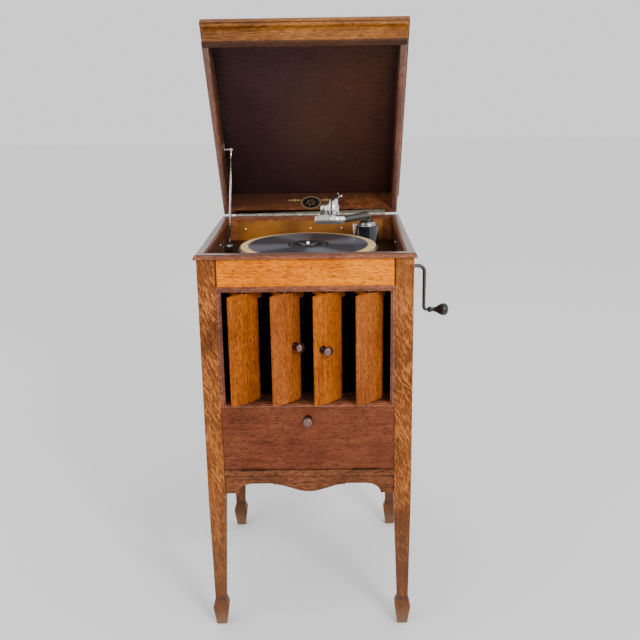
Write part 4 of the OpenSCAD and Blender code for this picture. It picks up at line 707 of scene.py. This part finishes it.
def screw_row(name):
    """A plain mesh of slotted screw heads in a row along X, with the origin at its middle."""
    sizes = {"Count": ("Int", SCREWS), "Pitch": ("Float", SCREW_PITCH),
             "Head radius": ("Float", SCREW_RADIUS), "Seed": ("Int", SLOT_SEED)}
    tree = bpy.data.node_groups.new(name, "GeometryNodeTree")
    tree.interface.new_socket("Geometry", in_out="INPUT", socket_type="NodeSocketGeometry")
    for label, (kind, _) in sizes.items():
        tree.interface.new_socket(label, in_out="INPUT", socket_type="NodeSocket" + kind)
    tree.interface.new_socket("Geometry", in_out="OUTPUT", socket_type="NodeSocketGeometry")
    start = tree.nodes.new("NodeGroupInput")
    end = tree.nodes.new("NodeGroupOutput")

    def node(kind, inputs=(), **settings):
        made = tree.nodes.new(kind)
        for key, value in settings.items():
            setattr(made, key, value)
        for key, value in inputs:
            if isinstance(value, bpy.types.NodeSocket):
                tree.links.new(value, made.inputs[key])
            else:
                made.inputs[key].default_value = value
        return made

    line = node("GeometryNodeMeshLine", (("Count", start.outputs["Count"]),), mode="OFFSET")
    step = node("ShaderNodeCombineXYZ", (("X", start.outputs["Pitch"]),))
    tree.links.new(step.outputs[0], line.inputs["Offset"])
    head = node("GeometryNodeMeshUVSphere", (("Segments", 24), ("Rings", 12),
                                             ("Radius", start.outputs["Head radius"])))
    flat = node("GeometryNodeTransform", (("Geometry", head.outputs[0]),
                                          ("Scale", (1, 1, HEAD_FLAT))))
    slot = node("GeometryNodeMeshCube", (("Size", SLOT_SIZE),))
    high = node("GeometryNodeTransform", (("Geometry", slot.outputs[0]),
                                          ("Translation", (0, 0, SLOT_HIGH))))
    cut = node("GeometryNodeMeshBoolean", (("Mesh 1", flat.outputs[0]),), operation="DIFFERENCE")
    tree.links.new(high.outputs[0], cut.inputs["Mesh 2"])
    turn = node("FunctionNodeRandomValue", (("Seed", start.outputs["Seed"]),), data_type="FLOAT")
    turn.inputs[3].default_value = math.pi
    about = node("ShaderNodeCombineXYZ", (("Z", turn.outputs[1]),))
    spread = node("GeometryNodeInstanceOnPoints", (("Points", line.outputs[0]),
                                                   ("Instance", cut.outputs[0]),
                                                   ("Rotation", about.outputs[0])))
    real = node("GeometryNodeRealizeInstances", (("Geometry", spread.outputs[0]),))
    paint = node("GeometryNodeSetMaterial", (("Geometry", real.outputs[0]), ("Material", nickel)))
    tree.links.new(paint.outputs[0], end.inputs[0])
    piece = bpy.data.objects.new(name, bpy.data.meshes.new(name))
    bpy.context.scene.collection.objects.link(piece)
    repeat = piece.modifiers.new("row", "NODES")
    repeat.node_group = tree
    for item in tree.interface.items_tree:
        if item.in_out == "INPUT" and item.name in sizes:
            repeat[item.identifier] = sizes[item.name][1]
    bake_modifiers(piece)
    piece.data.transform(Matrix.Translation((-(SCREWS - 1) * SCREW_PITCH / 2, 0, 0)))
    return piece


def leaf_screws(name, body, centre, outward):
    """The row of screws in one leaf, with their heads facing outward."""
    row = screw_row(name)
    turned = Vector(UP).rotation_difference(outward).to_matrix().to_4x4()
    row.data.transform(Matrix.Translation(centre) @ turned)
    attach(row, body)


case_leaf = corners("case_hinge_leaf")
leaf_y = min(p.y for p in case_leaf) + SCREW_INSET
leaf_top = max(p.z for p in case_leaf if p.y < leaf_y)
leaf_screws("case_leaf_screws", "cabinet", Vector((0, leaf_y, leaf_top - SCREW_SINK)), Vector(UP))
lid_leaf = [p - HINGE for p in corners("lid_hinge_leaf")]
inset = min(p.dot(lid_back) for p in lid_leaf) + SCREW_INSET
lowest = min(p.dot(lid_up) for p in lid_leaf if p.dot(lid_back) < inset) + SCREW_SINK
leaf_screws("lid_leaf_screws", "lid", HINGE + lid_back * inset + lid_up * lowest, -lid_up)

# Turntable and record
# A pressed plate with a dull nickel skirt, a cream cloth, and a ten-inch disc
# of black shellac on the spindle, with fine grooves and a plain dark label.
LABEL, LABEL_RING, ROSETTE = 0.0435, 0.0352, 0.0135
RUN_OUT, RECORD_EDGE, EASE = 0.0520, 0.1235, 0.001
GROOVES, SHEEN_RINGS, LABEL_PETALS = 5200, 900, 5


def cloth_tone(place):
    return place.mix(place.noise(900, 3.0) * 0.7, (0.95, 0.66, 0.32), (0.66, 0.44, 0.20))


def cloth_nap(place):
    return place.noise(1800, 2.0), 0.0004


def disc_radius(place):
    return place.scaled(1, 1, 0).length()


def disc_colour(place):
    """Blue-black shellac with painted glints and sheen rings, and a dark label with a rosette."""
    radius = disc_radius(place)
    angle = place.dot(BACK).angle(place.dot(ACROSS))
    # Two broad painted glints and faint rings of painted sheen lighten the shellac.
    glint = abs((angle * 2 + 0.9).sine()).between(0.55, 1.0)
    bands = (radius * SHEEN_RINGS).sine() * 0.5 + 0.5
    wax = place.mix(glint * 0.65 + bands * 0.12, (0.038, 0.045, 0.062), (0.21, 0.225, 0.265))
    label = 1 - radius.between(LABEL - 0.0004, LABEL + 0.0004)
    ring = radius.near(LABEL_RING, 0.0011, 0.0003) * 0.6 + radius.near(LABEL, 0.0006, 0.0003) * 0.25
    petal = radius.near(ROSETTE, 0.0055, 0.001) * (angle * LABEL_PETALS).sine().between(0.2, 0.6)
    paper = place.mix(ring, (0.014, 0.014, 0.018), (0.36, 0.24, 0.20))
    paper = paper.mix(petal * 0.5, paper, (0.50, 0.50, 0.52))
    return wax.mix(label, wax, paper)


def disc_gloss(place):
    """Polished shellac and a duller paper label."""
    return 0.28 + (1 - disc_radius(place).between(LABEL, LABEL + EASE)) * 0.3


def disc_relief(place):
    """Fine rings between the run-out and the record's smooth edge."""
    radius = disc_radius(place)
    inside = 1 - radius.between(RECORD_EDGE - 3 * EASE, RECORD_EDGE)
    grooved = radius.between(RUN_OUT, RUN_OUT + EASE) * inside
    return (radius * GROOVES).sine() * grooved, 0.00006


dress("platter", dull, "turntable")
cloth = finish("turntable cloth", cloth_tone, 0.95, bump=cloth_nap, specular=0.1)
dress("platter_cloth", cloth, "turntable")
dress("record", finish("shellac", disc_colour, disc_gloss, bump=disc_relief), "turntable")
dress("spindle", nickel, "turntable")

# Spring motor
# Brass barrel and great wheel, steel arbor and governor with brass weights,
# hung below the deck between the iron plates.
dress("spring_barrel", brass, "spring_barrel")
dress("winding_arbor", steel, "winding_arbor")
dress("governor", brass, "governor")

# Tonearm
# A japanned base with a nickel collar and a flat upright beside it, a tapered
# tube with its bend in dulled nickel, and a bright elbow.
japan = clouded("japanned iron", (0.005, 0.006, 0.012), (0.010, 0.011, 0.020), 60, 0.16, coat=0.4)
dress("tonearm_base", japan, "cabinet")
dress("tonearm_collar", dull, "cabinet")
dress("tonearm_post", nickel, "cabinet", edge=0.0004)
dress("tonearm_tube", oxidised, "tonearm", smooth=50)
dress("tonearm_elbow", nickel, "tonearm", smooth=50)

# Soundbox
# Nickel crook, back plate and ring, with a black rubber gasket between plate and
# ring. The needle below is clamped by its thumb screw.
BOX_AXIS = Vector(joint_of["soundbox_turn"]["axis"])
BOX_LEFT = min(p.dot(BOX_AXIS) for p in corners("soundbox"))
GASKET, GASKET_HALF = BOX_LEFT + 0.0042, 0.0011


def rubber(place):
    """1 on the gasket, 0 on the nickel beside it."""
    return place.dot(BOX_AXIS).near(GASKET, GASKET_HALF, 0.0002)


def box_tone(place):
    wear = place.noise(90, 4.0, 0.6).between(0.45, 0.75) * 0.25
    plate = place.mix(wear, (0.86, 0.85, 0.82), (0.40, 0.39, 0.37))
    return place.mix(rubber(place), plate, (0.006, 0.006, 0.008))


box_nickel = finish("soundbox nickel and rubber", box_tone, 0.17,
                    metallic=lambda place: 1 - rubber(place))
silvery = plated("soft nickel", (0.80, 0.79, 0.76), 0.36, 0.35)
dress("soundbox_crook", silvery, "soundbox", smooth=50)
dress("soundbox", box_nickel, "soundbox")
dress("needle", nickel, "soundbox")
dress("needle_screw", nickel, "needle_screw")

# Crank
# Dark steel rod, bent twice, with a pear-shaped handle of ebonised wood that
# turns on its end.
dark_steel = plated("dark steel", (0.085, 0.083, 0.085), 0.36, 0.4)
dress("crank", dark_steel, "crank", smooth=50)
ebony = clouded("ebonised wood", (0.007, 0.007, 0.008), (0.016, 0.015, 0.015), 200, 0.3,
                coat=0.15)
dress("crank_handle", ebony, "crank_handle", smooth=50)

# Knobs
# Turned knobs of oxidised bronze, dark at the neck with oxide and painted shade,
# brighter on the face: two on the middle shutters and one on the door.
HEAD_BACK, HEAD_FACE = 0.0125, 0.0085


def knob_with_shaded_neck(knob, body, turn):
    """A knob on a board open by turn, dark at the neck with oxide and painted shade."""
    out = Vector((math.sin(turn), -math.cos(turn), 0))
    far = max(p.dot(out) for p in corners(knob))

    def tone(place):
        head = place.dot(out).between(far - HEAD_BACK, far - HEAD_FACE)
        cloud = place.noise(300, 3.0) * 0.5
        metal = place.mix(cloud, (0.23, 0.135, 0.12), (0.09, 0.048, 0.042))
        # Behind the head the bronze is dark: oxide, and painted shade under the head.
        return place.mix(head, (0.020, 0.009, 0.007), metal)

    bronze = finish(f"bronze of {knob}", tone, 0.24, metallic=0.9)
    dress(knob, bronze, body, smooth=50)


knob_with_shaded_neck("door_knob", "record_door", 0)
knob_with_shaded_neck("shutter_knob_left", "shutter_2", SHUTTER_TURN)
knob_with_shaded_neck("shutter_knob_right", "shutter_3", SHUTTER_TURN)
